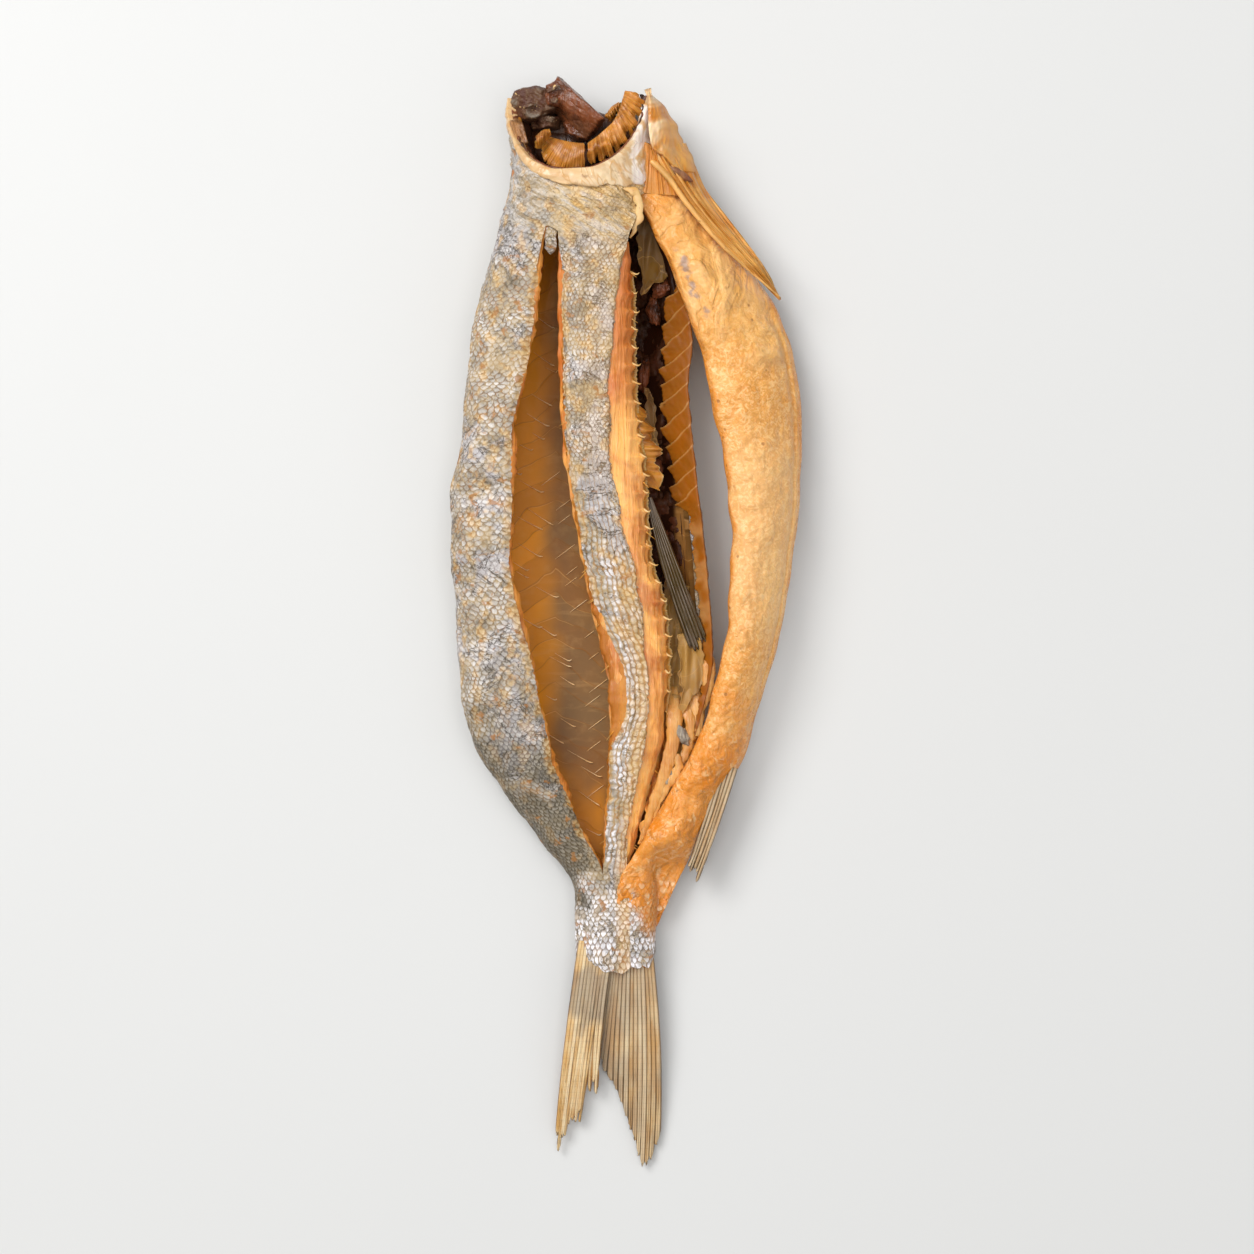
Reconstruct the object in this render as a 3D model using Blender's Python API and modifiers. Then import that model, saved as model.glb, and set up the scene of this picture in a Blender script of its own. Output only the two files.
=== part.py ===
"""A dried, headless fish, slit along its flank so that the body opens into strips.

The fish lies on its far flank, with the head end at +Y, the tail at -Y and the belly at +X.
Its body is a flattened tube. A wide slit parts the back strip from the middle strip, and a
second one frees the belly strip, which bows out and comes back at the tail root. The strips
are one with the gill collar at one end and with the tail root at the other, so the whole fish
is one solid. Sizes are in millimetres; Blender's metres are made from them at the end.
"""

import math

import bmesh
import bpy
import numpy as np
from mathutils import Matrix, Vector

MM = 0.001
SHARP_ANGLE = 0.6  # edges that turn by more stay sharp

# ---- Driving sizes (mm) ------------------------------------------------------------------
FRONT_RIM_Y = 83.0  # the lowest point of the collar's U-shaped mouth
SIDE_RIM_Y = 100.6  # the collar's left and right horns
RIM_NOTCH = 4.5  # how far the far lip stands back from the horns
SLIT_TOP_Y = 75.0  # where both slits start
SLIT_END_Y = -48.5  # where both slits end
TAIL_ROOT_Y = -64.5  # end of the scaled tail root
ROUNDNESS = 2.4  # superellipse power of the body's cross-section
LEAN = 1.65  # the same for the far wall's freed side, which leans outwards
SKIN_WALL = 2.4  # thickness of the near wall
FAR_WALL = 2.2  # thickness of the far wall
BELLY_WALL = 4.2  # thickness of the belly strip at its crown
RIB_PITCH = 3.4  # spacing of the vertebrae, and so of the ribs and their stubs
RAY_DEPTH = 0.35  # height of a tail ray above the web beside it
FIN_WEB = 0.8  # thickness of a dried fin

# Outlines seen from above, as (y, x), and heights, as (y, z). They are smooth curves.
LEFT_EDGE = [(101, -22.6), (86, -22.6), (74, -24.8), (60, -28.8), (43, -31.0), (21, -33.6), (-4, -32.4),
             (-22, -29.6), (-31, -24.4), (-40, -17.2), (-51, -10.2), (-65, -9.9)]
SLIT_LEFT = [(90, -14.0), (76, -14.2), (69, -17.0), (51, -19.1), (36, -22.4), (12, -22.6), (-7, -18.6),
             (-24, -14.7), (-38, -9.3), (-48, -4.6), (-65, -4.2)]
SLIT_RIGHT = [(90, -14.0), (76, -14.2), (66, -12.8), (38, -12.2), (23, -10.2), (5, -6.8), (-15, -3.0),
              (-29, -3.4), (-48, -4.6), (-65, -4.2)]
MIDDLE_EDGE = [(90, 0.0), (76, 0.6), (65, -0.9), (46, -2.6), (34, -2.8), (23, -0.6), (5, 3.0), (-15, 4.9),
               (-29, 2.5), (-48, -0.2), (-65, 0.4)]
MIDDLE_FLESH = [(76, 0.8), (65, 1.9), (46, 2.3), (32, 3.5), (14, 4.9), (-5, 8.0), (-14, 8.3), (-29, 5.2),
                (-40, 2.0), (-49, 0.2)]
FAR_EDGE = [(101, 4.4), (82, 5.0), (72, 8.5), (60, 11.1), (34, 12.1), (7, 14.0), (-6, 15.0), (-17, 13.2),
            (-28, 9.0), (-40, 5.3), (-52, 5.2), (-65, 5.4)]
BELLY_LEFT = [(98, 2.6), (88, 3.0), (79, 3.4), (71, 6.5), (60, 10.4), (42, 15.6), (24, 19.2), (9, 19.6),
              (-8, 17.4), (-24, 12.4), (-38, 4.4), (-48, -0.8), (-57, -3.0)]
BELLY_RIGHT = [(98, 5.4), (91, 9.8), (77, 18.6), (65, 26.0), (52, 31.6), (38, 33.5), (22, 32.4), (5, 29.8),
               (-12, 25.4), (-24, 21.6), (-34, 16.0), (-46, 10.2), (-57, 4.9)]
TOP = [(101, 20.0), (83, 23.2), (60, 21.6), (40, 20.2), (20, 19.0), (0, 17.4), (-20, 15.2), (-35, 12.8),
       (-49, 10.4), (-57, 9.0), (-65, 7.2)]
BOTTOM = [(101, 0.2), (90, -1.3), (-25, -1.3), (-45, -0.3), (-56, 1.0), (-65, 2.0)]
BELLY_LEFT_Z = [(98, 15.0), (79, 16.8), (60, 16.2), (30, 15.2), (0, 13.6), (-30, 10.4), (-48, 7.6),
                (-57, 5.4)]
BELLY_RIGHT_Z = [(98, 11.0), (79, 8.4), (60, 6.8), (30, 6.0), (0, 5.8), (-30, 6.0), (-48, 5.2), (-57, 4.2)]
BELLY_CROWN = [(98, 1.2), (84, 3.6), (70, 5.2), (50, 6.2), (20, 6.0), (-10, 5.0), (-35, 3.8), (-57, 2.2)]


def along(y, knots):
    """The value at y of the smooth curve through (y, value) knots, which never overshoots them."""
    places, values = np.array(sorted(knots), float).T
    steps = np.diff(values) / np.diff(places)
    slopes = np.zeros_like(values)
    same_way = steps[:-1] * steps[1:] > 0
    before, after = steps[:-1][same_way], steps[1:][same_way]
    slopes[1:-1][same_way] = 2 * before * after / (before + after)
    slopes[0], slopes[-1] = steps[0], steps[-1]
    y = min(max(y, places[0]), places[-1])
    k = min(int(np.searchsorted(places, y, side="right")) - 1, len(steps) - 1)
    width = places[k + 1] - places[k]
    t = (y - places[k]) / width
    return float(
        values[k] * (1 + 2 * t) * (1 - t) ** 2
        + slopes[k] * width * t * (1 - t) ** 2
        + values[k + 1] * t * t * (3 - 2 * t)
        + slopes[k + 1] * width * t * t * (t - 1)
    )


def mix(a, b, t):
    return a + (b - a) * t


def smooth(low, high, value):
    """0 below low, 1 above high, and an S-curve between. low may be the larger."""
    t = min(max((value - low) / (high - low), 0.0), 1.0)
    return t * t * (3 - 2 * t)


def power(value, exponent):
    return math.copysign(abs(value) ** exponent, value)


# ---- The body tube -----------------------------------------------------------------------
def tube(y, angle, inset=0.0, roundness=ROUNDNESS):
    """(x, z) on the body's cross-section: angle 0 is the back at -X, a quarter turn the near side."""
    left, right = along(y, LEFT_EDGE), along(y, FAR_EDGE)
    low, high = along(y, BOTTOM), along(y, TOP)
    x = (left + right) / 2 - ((right - left) / 2 - inset) * power(math.cos(angle), 2 / roundness)
    z = (low + high) / 2 + ((high - low) / 2 - inset) * power(math.sin(angle), 2 / roundness)
    return x, max(z, 0.0)


def angle_at(y, x):
    """The angle at which the near side of the tube stands at x."""
    left, right = along(y, LEFT_EDGE), along(y, FAR_EDGE)
    share = (2 * x - left - right) / (right - left)
    return math.acos(-power(min(max(share, -1.0), 1.0), ROUNDNESS / 2))


def rim_y(angle):
    """Where the collar's mouth ends: a deep U on the near side, a shallow notch on the far side."""
    around = math.sin(angle)
    if around > 0:
        return SIDE_RIM_Y - (SIDE_RIM_Y - FRONT_RIM_Y) * around**0.85
    return SIDE_RIM_Y - RIM_NOTCH * abs(around) ** 1.5


def station(u, angle, end=TAIL_ROOT_Y):
    """(nominal y, true y) of row u, from the collar's mouth to end. Only the collar follows its mouth."""
    nominal = mix(FRONT_RIM_Y, end, u)
    rise = min(max((nominal - SLIT_TOP_Y) / (FRONT_RIM_Y - SLIT_TOP_Y), 0.0), 1.0)
    return nominal, nominal + (rim_y(angle) - FRONT_RIM_Y) * rise


def opened(y):
    """0 where the slits are shut, at the collar and the tail root, and 1 along the strips."""
    return smooth(SLIT_TOP_Y, SLIT_TOP_Y - 9, y) * smooth(SLIT_END_Y, SLIT_END_Y + 9, y)


def slit_right(y):
    """The middle strip's side of the first slit, which meets the other side where the slit is shut."""
    parted = smooth(SLIT_TOP_Y, SLIT_TOP_Y - 5, y) * smooth(SLIT_END_Y, SLIT_END_Y + 5, y)
    return mix(along(y, SLIT_LEFT), along(y, SLIT_RIGHT), parted)


def unevenness(y, across):
    """The slow swell and sag of dried skin, in mm."""
    return 0.35 * math.sin(0.19 * y + 2.3 * across) + 0.25 * math.sin(0.43 * y - 4.1 * across + 1.0)


def back_point(u, v):
    """The back strip and the skin beside it, from under the back to the first slit."""
    nominal = mix(FRONT_RIM_Y, TAIL_ROOT_Y, u)
    angle = mix(-0.55, angle_at(nominal, along(nominal, SLIT_LEFT)), v)
    y = station(u, angle)[1]
    inset = opened(y) * (0.9 * smooth(0.7, 1.0, v) + 0.6 * unevenness(y, v) * smooth(0.15, 0.4, v))
    x, z = tube(y, angle, inset)
    return Vector((x, y, z))


def middle_point(u, v):
    """The middle strip, from the first slit to the second."""
    nominal = mix(FRONT_RIM_Y, TAIL_ROOT_Y, u)
    angle = mix(
        angle_at(nominal, slit_right(nominal)),
        angle_at(nominal, along(nominal, MIDDLE_EDGE)),
        v,
    )
    y = station(u, angle)[1]
    curl = 0.8 * smooth(0.3, 0.0, v) + 0.5 * smooth(0.75, 1.0, v)
    x, z = tube(y, angle, opened(y) * (curl + 0.5 * unevenness(y + 9, v)))
    return Vector((x, y, z))


def side_point(u, v):
    """The skin on the collar's and tail root's belly side, right round to under the fish."""
    nominal = mix(FRONT_RIM_Y, TAIL_ROOT_Y, u)
    angle = mix(angle_at(nominal, along(nominal, MIDDLE_EDGE)), math.pi + 0.5, v)
    y = station(u, angle)[1]
    x, z = tube(y, angle)
    return Vector((x, y, z))


def far_point(u, v):
    """The far wall, from inside the back's lap, under the fish, to its free edge in the second slit."""
    angle = mix(0.1, -math.pi - 0.25, v)
    nominal, y = station(u, angle, TAIL_ROOT_Y + 2)
    leaning = opened(nominal) * smooth(-math.pi / 2, -math.pi / 2 - 0.5, angle)
    x, z = tube(y, angle, 0.7 + 0.5 * smooth(0.2, 0.06, v), mix(ROUNDNESS, LEAN, leaning))
    return Vector((x, y, z))


def belly_height(y, t):
    """Height of the belly strip's skin, t of the way from its inner edge to its outer one."""
    chord = mix(along(y, BELLY_LEFT_Z), along(y, BELLY_RIGHT_Z), t)
    return chord + along(y, BELLY_CROWN) * max(4 * t * (1 - t), 0.0) ** 0.6


# ---- Making meshes -----------------------------------------------------------------------
def collection_named(name):
    made = bpy.data.collections.new(name)
    bpy.context.scene.collection.children.link(made)
    return made


def object_from(bm, name, collection):
    """Turns bm, in millimetres, into an object in metres."""
    bmesh.ops.transform(bm, matrix=Matrix.Scale(MM, 4), verts=bm.verts)
    bmesh.ops.remove_doubles(bm, verts=bm.verts, dist=0.00002)
    bmesh.ops.recalc_face_normals(bm, faces=bm.faces)
    mesh = bpy.data.meshes.new(name)
    bm.to_mesh(mesh)
    bm.free()
    made = bpy.data.objects.new(name, mesh)
    collection.objects.link(made)
    return made


def add_grid(bm, rows, columns, place, first=0.0, last=1.0):
    """Adds a grid primitive whose vertices go to place(u, v), with u from first to last."""
    for vert in bmesh.ops.create_grid(bm, x_segments=columns, y_segments=rows, size=1.0)["verts"]:
        across, down = (vert.co.x + 1) / 2, (vert.co.y + 1) / 2
        vert.co = place(mix(first, last, down), across)


def sheet(name, collection, grids, thickness):
    """A wall made of grids that are welded where they meet, with its thickness on the inner side."""
    bm = bmesh.new()
    for grid in grids:
        add_grid(bm, *grid)
    wall = object_from(bm, name, collection)
    solidify = wall.modifiers.new("wall", "SOLIDIFY")
    solidify.thickness = thickness * MM
    solidify.offset = -1
    solidify.use_even_offset = False
    return wall


def loft(name, collection, sections):
    """A closed solid through sections, each a ring of as many (x, y, z) points."""
    bm = bmesh.new()
    rings = [[bm.verts.new(point) for point in section] for section in sections]
    count = len(rings[0])
    for ring, following in zip(rings, rings[1:]):
        for k in range(count):
            after = (k + 1) % count
            bm.faces.new((ring[k], ring[after], following[after], following[k]))
    for ring in (rings[0], rings[-1]):
        bm.faces.new(ring)
    return object_from(bm, name, collection)


def lump(name, collection, centre, radii, turn, roughness, seed, detail=2):
    """An uneven lump of dried flesh: an icosphere pushed in and out by a seeded sum of waves."""
    rng = np.random.default_rng(seed)
    waves = rng.normal(0, 1.5, (5, 3))
    phases = rng.uniform(0, 2 * math.pi, 5)
    bm = bmesh.new()
    bmesh.ops.create_icosphere(bm, subdivisions=detail, radius=1.0)
    for vert in bm.verts:
        swell = sum(math.sin(2 * vert.co.dot(Vector(w)) + p) for w, p in zip(waves, phases)) / 5
        vert.co *= 1 + roughness * swell
    matrix = (
        Matrix.Translation(centre)
        @ Matrix.Rotation(math.radians(turn), 4, "Z")
        @ Matrix.Diagonal((*radii, 1))
    )
    bmesh.ops.transform(bm, matrix=matrix, verts=bm.verts)
    return object_from(bm, name, collection)


def spike(name, collection, start, tip, width):
    """A rib or its stub: a thin four-sided taper from start to tip."""
    start, tip = Vector(start), Vector(tip)
    way = tip - start
    bm = bmesh.new()
    bmesh.ops.create_cone(
        bm, cap_ends=True, segments=4, radius1=width / 2, radius2=width / 5, depth=way.length
    )
    matrix = Matrix.Translation((start + tip) / 2) @ way.to_track_quat("Z", "Y").to_matrix().to_4x4()
    bmesh.ops.transform(bm, matrix=matrix, verts=bm.verts)
    return object_from(bm, name, collection)


# ---- Body --------------------------------------------------------------------------------
def near_wall(collection):
    """Collar, back strip, middle strip and the tail root's skin, in one sheet with the slits left open."""
    rows = 42
    shut_rows = math.floor(rows * (FRONT_RIM_Y - SLIT_TOP_Y) / (FRONT_RIM_Y - TAIL_ROOT_Y))
    root_row = math.ceil(rows * (FRONT_RIM_Y - SLIT_END_Y) / (FRONT_RIM_Y - TAIL_ROOT_Y))
    grids = [
        (rows, 7, back_point),
        (rows, 4, middle_point),
        (shut_rows, 6, side_point, 0.0, shut_rows / rows),
        (rows - root_row, 6, side_point, root_row / rows, 1.0),
    ]
    return sheet("near_wall", collection, grids, SKIN_WALL)


def far_wall(collection):
    return sheet("far_wall", collection, [(28, 13, far_point)], FAR_WALL)


def middle_flesh(collection):
    """The thick flesh under the middle strip's skin. Its cut side slopes out into the second slit."""
    sections = []
    for y in np.linspace(SLIT_TOP_Y - 2, SLIT_END_Y - 2, 28):
        left, skin, cut = slit_right(y) + 0.2, along(y, MIDDLE_EDGE), along(y, MIDDLE_FLESH)
        sunk = 0.6 + 1.2 * (1 - opened(y))
        top_left = tube(y, angle_at(y, left + 1.2), sunk + 0.3)[1]
        top = tube(y, angle_at(y, skin), sunk)[1]
        depth = 2.4 + 2.6 * opened(y)
        overhang = 0.7 * opened(y)
        sections.append(
            [
                (left - overhang, y, top_left - 1.4),
                (left + 1.2, y, top_left),
                (mix(left, skin, 0.6), y, tube(y, angle_at(y, mix(left, skin, 0.6)), sunk + 0.3)[1]),
                (skin, y, top),
                (mix(skin, cut, 0.55), y, top - 1.0),
                (cut, y, top - 2.6 * opened(y) - 0.4),
                (cut - 0.8, y, top - depth),
                (mix(left, cut, 0.5), y, top - depth - 1.2),
                (left + 0.4, y, top_left - depth + 0.6),
            ]
        )
    return loft("middle_flesh", collection, sections)


def belly_strip(collection):
    """A long crescent in section: crowned skin outside, hollowed flesh inside."""
    points = 9
    sections = []
    for y in [*np.linspace(98, 72, 8), *np.linspace(67, -57, 26)]:
        left, right = along(y, BELLY_LEFT), along(y, BELLY_RIGHT)
        wall = min(BELLY_WALL, 0.75 * (right - left))
        skin = [(1 - math.cos(math.pi * k / (points - 1))) / 2 for k in range(points)]
        outside = [(mix(left, right, t), y, belly_height(y, t)) for t in skin]
        inside = []
        for t in reversed(skin[1:-1:2]):
            deep = wall * (0.35 + 0.65 * math.sin(math.pi * t))
            inside.append((mix(left, right, mix(0.08, 0.92, t)), y, belly_height(y, t) - deep))
        sections.append(outside + inside)
    return loft("belly_strip", collection, sections)


def tail_core(collection):
    """The solid tail root inside the skins."""
    sections = []
    for y in np.linspace(SLIT_END_Y + 5, TAIL_ROOT_Y - 1.5, 7):
        inset = mix(4.0, 1.1, smooth(SLIT_END_Y + 5, SLIT_END_Y - 1, y))
        ring = []
        for angle in np.linspace(0, 2 * math.pi, 12, endpoint=False):
            x, z = tube(y, angle, inset)
            ring.append((x, y, z))
        sections.append(ring)
    return loft("tail_core", collection, sections)


# ---- Collar ------------------------------------------------------------------------------
THROAT = (-8.6, 96.0)  # centre of the mouth, seen from above
COMB_PLATES = 17
COMB_FIRST, COMB_LAST = math.radians(212), math.radians(372)


def throat_height(angle):
    """Height of the gill arch's outer side round the throat: high in front, lower at the horns."""
    return 12.6 + 5.6 * max(-math.sin(angle), 0.0) ** 0.8


def gill_plates(collection):
    """The comb of the dried gill arch: plates that reach from the throat to the collar's wall."""
    for k in range(COMB_PLATES):
        angle = mix(COMB_FIRST, COMB_LAST, k / (COMB_PLATES - 1))
        outward = Vector((math.cos(angle), math.sin(angle) * 1.08, 0))
        middle = Vector((*THROAT, 0)) + outward * 10.0
        matrix = (
            Matrix.Translation((middle.x, middle.y, throat_height(angle) - 0.6))
            @ Matrix.Rotation(angle, 4, "Z")
            @ Matrix.Rotation(math.radians(-20), 4, "Y")
            @ Matrix.Diagonal((4.8, 0.8, 2.6, 1))
        )
        bm = bmesh.new()
        bmesh.ops.create_cube(bm, size=1.0, matrix=matrix)
        object_from(bm, f"gill_plate_{k:02d}", collection)


def gill_arch(collection):
    """The arch that carries the plates, a curved bar round the throat."""
    sections = []
    for angle in np.linspace(COMB_FIRST - 0.1, COMB_LAST + 0.1, 15):
        z = throat_height(angle)
        ring = []
        for radius, height in ((4.4, -2.2), (4.9, -0.9), (7.0, 0.6), (9.2, 0.9), (9.0, -2.2), (6.6, -3.6)):
            ring.append(
                (
                    THROAT[0] + radius * math.cos(angle),
                    THROAT[1] + 1.08 * radius * math.sin(angle),
                    z + height,
                )
            )
        sections.append(ring)
    return loft("gill_arch", collection, sections)


def throat_flesh(collection):
    """The dark dried flesh left in the collar, and what remains of the gut behind it."""
    lump("nape_flesh", collection, (-16.4, 98.5, 11.6), (7.2, 4.0, 6.2), -18, 0.16, 3, 3)
    lump("neck_flesh", collection, (-8.0, 95.8, 8.4), (5.2, 2.8, 5.6), -38, 0.16, 5)
    lump("neck_stump", collection, (-12.6, 91.0, 5.2), (7.6, 6.0, 4.2), 0, 0.12, 8)


def gut_remains(collection):
    """Dark remains along the body cavity, under the middle strip."""
    lump("gut_front", collection, (-0.6, 62.0, 6.0), (4.6, 14.0, 4.6), -6, 0.16, 11)
    lump("gut_back", collection, (-0.6, 36.0, 5.0), (4.4, 16.0, 3.6), 2, 0.16, 12)


def collar_band(collection):
    """The pale bone that edges the belly side of the collar's mouth."""
    sections = []
    for angle in np.linspace(math.pi / 2 - 0.5, math.pi + 0.1, 12):
        broad = 3.1 * smooth(math.pi / 2 - 0.7, math.pi / 2 + 0.5, angle) + 0.6
        ring = []
        outer = ((-0.35, 0.9), (0.4, -0.45), (broad, -0.35))
        inner = ((broad + 0.6, 0.7), (broad, 1.9), (0.2, 2.3))
        for back, inset in outer + inner:
            y = rim_y(angle) - back
            x, z = tube(min(y, FRONT_RIM_Y + 17), angle, inset)
            ring.append((x, y, z))
        sections.append(ring)
    return loft("collar_band", collection, sections)


def collar_ruffle(collection):
    """The curled scrap of skin at the top of the second slit."""
    lump("collar_ruffle", collection, (0.9, 79.4, 19.4), (1.6, 4.2, 1.7), 8, 0.15, 21)


# ---- Ribs and fins -----------------------------------------------------------------------
def ribs(collection):
    """Rib stubs along the middle strip's cut side, and ribs on the far wall's free side."""
    for k in range(15):
        y = 66.0 - k * RIB_PITCH
        cut = along(y, MIDDLE_FLESH)
        top = tube(y, angle_at(y, along(y, MIDDLE_EDGE)), 0.6)[1]
        start, tip = (cut - 1.6, y + 0.4, top - 2.6), (cut + 1.4, y - 0.5, top - 2.9)
        spike(f"rib_stub_{k:02d}", collection, start, tip, 1.1)
    for k in range(11):
        y = 58.0 - k * RIB_PITCH * 1.25
        low_x, low_z = tube(y, -math.pi + 0.75, FAR_WALL)
        high_x, high_z = tube(y + 3.4, -math.pi - 0.25, FAR_WALL)
        start, tip = (low_x - 2.0, y - 1.2, low_z + 0.9), (high_x, y + 3.4, high_z)
        spike(f"rib_{k:02d}", collection, start, tip, 1.2)


def fan(name, collection, left, right, heights, rays, raggedness, seed):
    """A dried fin: a sheet between two edge curves, folded into rays, with a ragged end."""
    rng = np.random.default_rng(seed)
    ends = 1 - raggedness * rng.uniform(0, 1, rays + 1)

    def place(u, v):
        reach = u * ends[min(int(v * rays + 0.5), rays)]
        edge_left, edge_right = [point_on(edge, reach) for edge in (left, right)]
        ray = RAY_DEPTH * math.cos(2 * math.pi * rays * v)
        at = edge_left.lerp(edge_right, v)
        return Vector((at.x, at.y, along(reach, heights) + ray))

    bm = bmesh.new()
    add_grid(bm, 7, 2 * rays, place)
    made = object_from(bm, name, collection)
    solidify = made.modifiers.new("web", "SOLIDIFY")
    solidify.thickness = FIN_WEB * MM
    solidify.offset = 0
    return made


def point_on(edge, share):
    """The point a share of the way along an edge, a list of (x, y) at even shares."""
    spans = len(edge) - 1
    knots = [(k / spans, point[0]) for k, point in enumerate(edge)]
    down = [(k / spans, point[1]) for k, point in enumerate(edge)]
    return Vector((along(share, knots), along(share, down)))


TAIL_LEFT_LOBE = (
    [(-9.4, -60.0), (-11.0, -73.0), (-12.8, -87.0), (-14.0, -101.0)],
    [(-2.6, -61.0), (-4.0, -72.0), (-5.8, -82.0), (-7.2, -93.0)],
)
TAIL_RIGHT_LOBE = (
    [(-3.2, -61.0), (-4.9, -75.0), (-3.6, -89.0), (3.2, -102.8)],
    [(5.0, -60.0), (5.7, -75.0), (6.6, -90.0), (4.6, -102.8)],
)


def tail_fin(collection):
    left, right = TAIL_LEFT_LOBE
    fan("tail_left", collection, left, right, [(0, 6.2), (0.4, 5.0), (1, 2.2)], 9, 0.12, 31)
    left, right = TAIL_RIGHT_LOBE
    fan("tail_right", collection, left, right, [(0, 4.6), (0.4, 3.4), (1, 1.2)], 10, 0.08, 32)


def small_fins(collection):
    """The folded breast fin, the vent fin at the belly's outer edge, and the back fin in the slit."""
    breast = (
        [(4.4, 87.2), (10.0, 81.0), (17.0, 73.2), (28.4, 62.9)],
        [(7.0, 95.4), (13.4, 85.8), (20.7, 74.7), (29.0, 62.4)],
    )
    fan("breast_fin", collection, *breast, [(0, 17.4), (0.35, 17.0), (0.7, 14.6), (1, 11.4)], 4, 0.0, 41)
    vent = (
        [(16.2, -29.0), (14.6, -35.0), (12.0, -42.0), (10.4, -47.0)],
        [(18.6, -29.0), (18.0, -35.0), (15.6, -42.0), (12.9, -47.5)],
    )
    fan("vent_fin", collection, *vent, [(0, 9.0), (0.5, 8.2), (1, 7.2)], 4, 0.1, 42)
    back = (
        [(3.6, 22.0), (6.2, 13.0), (10.0, 4.0), (12.6, -4.0)],
        [(5.4, 22.6), (9.0, 13.6), (12.8, 4.0), (14.4, -4.0)],
    )
    fan("back_fin", collection, *back, [(0, 13.6), (0.4, 12.4), (1, 9.6)], 5, 0.05, 43)


# ---- One solid ---------------------------------------------------------------------------
def flesh_material():
    material = bpy.data.materials.new("dried_fish")
    material.use_nodes = True
    shader = material.node_tree.nodes["Principled BSDF"]
    shader.inputs["Base Color"].default_value = (0.42, 0.25, 0.11, 1.0)
    shader.inputs["Roughness"].default_value = 0.55
    shader.inputs["Metallic"].default_value = 0.0
    return material


def fuse(name, collection, pieces):
    """One Boolean union of all the pieces, applied, after which the pieces are removed."""
    core = next(piece for piece in pieces.objects if piece.name == "near_wall")
    graph = bpy.context.evaluated_depsgraph_get()
    for piece in list(pieces.objects):
        whole = bpy.data.meshes.new_from_object(piece.evaluated_get(graph))
        piece.modifiers.clear()
        piece.data = whole
    pieces.objects.unlink(core)
    collection.objects.link(core)
    union = core.modifiers.new("union", "BOOLEAN")
    union.operation = "UNION"
    union.operand_type = "COLLECTION"
    union.collection = pieces
    union.solver = "MANIFOLD"
    bpy.context.view_layer.update()
    graph = bpy.context.evaluated_depsgraph_get()
    fused = bpy.data.meshes.new_from_object(core.evaluated_get(graph))
    core.modifiers.clear()
    core.data = fused
    core.name = fused.name = name
    for piece in list(pieces.objects):
        bpy.data.objects.remove(piece)
    bpy.data.collections.remove(pieces)
    return core


def main():
    for leftover in list(bpy.data.objects):
        bpy.data.objects.remove(leftover)
    fish = collection_named("dried_fish_parts")
    pieces = collection_named("pieces_to_fuse")
    near_wall(pieces)
    far_wall(pieces)
    middle_flesh(pieces)
    belly_strip(pieces)
    tail_core(pieces)
    gill_arch(pieces)
    gill_plates(pieces)
    throat_flesh(pieces)
    gut_remains(pieces)
    collar_band(pieces)
    collar_ruffle(pieces)
    ribs(pieces)
    tail_fin(pieces)
    small_fins(pieces)
    whole = fuse("dried_fish", fish, pieces)
    whole.data.shade_smooth()
    whole.data.set_sharp_from_angle(angle=SHARP_ANGLE)
    whole.data.materials.clear()
    whole.data.materials.append(flesh_material())


main()
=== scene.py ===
"""Builds the look of a dried, headless fish, slit along its flank, over its packed frame."""

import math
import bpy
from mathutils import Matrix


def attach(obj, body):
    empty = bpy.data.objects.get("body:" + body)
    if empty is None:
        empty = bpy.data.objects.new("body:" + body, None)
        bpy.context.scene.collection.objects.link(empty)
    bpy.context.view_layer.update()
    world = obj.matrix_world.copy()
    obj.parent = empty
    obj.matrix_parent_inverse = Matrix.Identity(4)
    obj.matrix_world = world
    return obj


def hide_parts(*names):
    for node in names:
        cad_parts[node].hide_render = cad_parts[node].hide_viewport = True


bl_info = {
    "name": "Dried fish",
    "version": (1, 0, 0),
    "blender": (4, 5, 0),
    "location": "View3D > Sidebar > Dried fish",
    "description": "A headless dried fish with slit flank, gill comb, cut ribs and dried fins",
    "category": "Add Mesh",
}

import bpy
import numpy as np
from bpy.props import FloatProperty, FloatVectorProperty, PointerProperty
from mathutils import Vector

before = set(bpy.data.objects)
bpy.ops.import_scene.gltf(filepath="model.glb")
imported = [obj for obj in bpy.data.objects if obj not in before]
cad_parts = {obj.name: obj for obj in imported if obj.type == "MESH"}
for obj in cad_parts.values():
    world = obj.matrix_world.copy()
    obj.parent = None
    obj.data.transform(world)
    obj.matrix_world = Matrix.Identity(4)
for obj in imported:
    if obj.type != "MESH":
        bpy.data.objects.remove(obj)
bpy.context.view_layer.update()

MM = 0.001
NODE = "dried_fish"
BODY = "root"

# ---- The body's outlines seen from above, as (y, x), and its heights, as (y, z), all in mm ----
FRONT_RIM_Y = 83.0
SIDE_RIM_Y = 100.6
RIM_NOTCH = 4.5
SLIT_TOP_Y = 75.0
SLIT_END_Y = -48.5
TAIL_ROOT_Y = -64.5
ROUNDNESS = 2.4
LEAN = 1.65
RIM_TUCK = 0.25
RIGHT_CUT_Y = 78.5
LEFT_EDGE = [(101, -22.6), (86, -22.6), (74, -24.8), (60, -28.8), (43, -31.0), (21, -33.6), (-4, -32.4),
             (-22, -29.6), (-31, -24.4), (-40, -17.2), (-51, -10.2), (-65, -9.9)]
SLIT_LEFT = [(90, -14.0), (76, -15.3), (69, -17.0), (51, -19.1), (36, -22.4), (12, -22.6), (-7, -18.6),
             (-24, -14.7), (-38, -9.3), (-48, -4.6), (-65, -4.2)]
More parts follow.
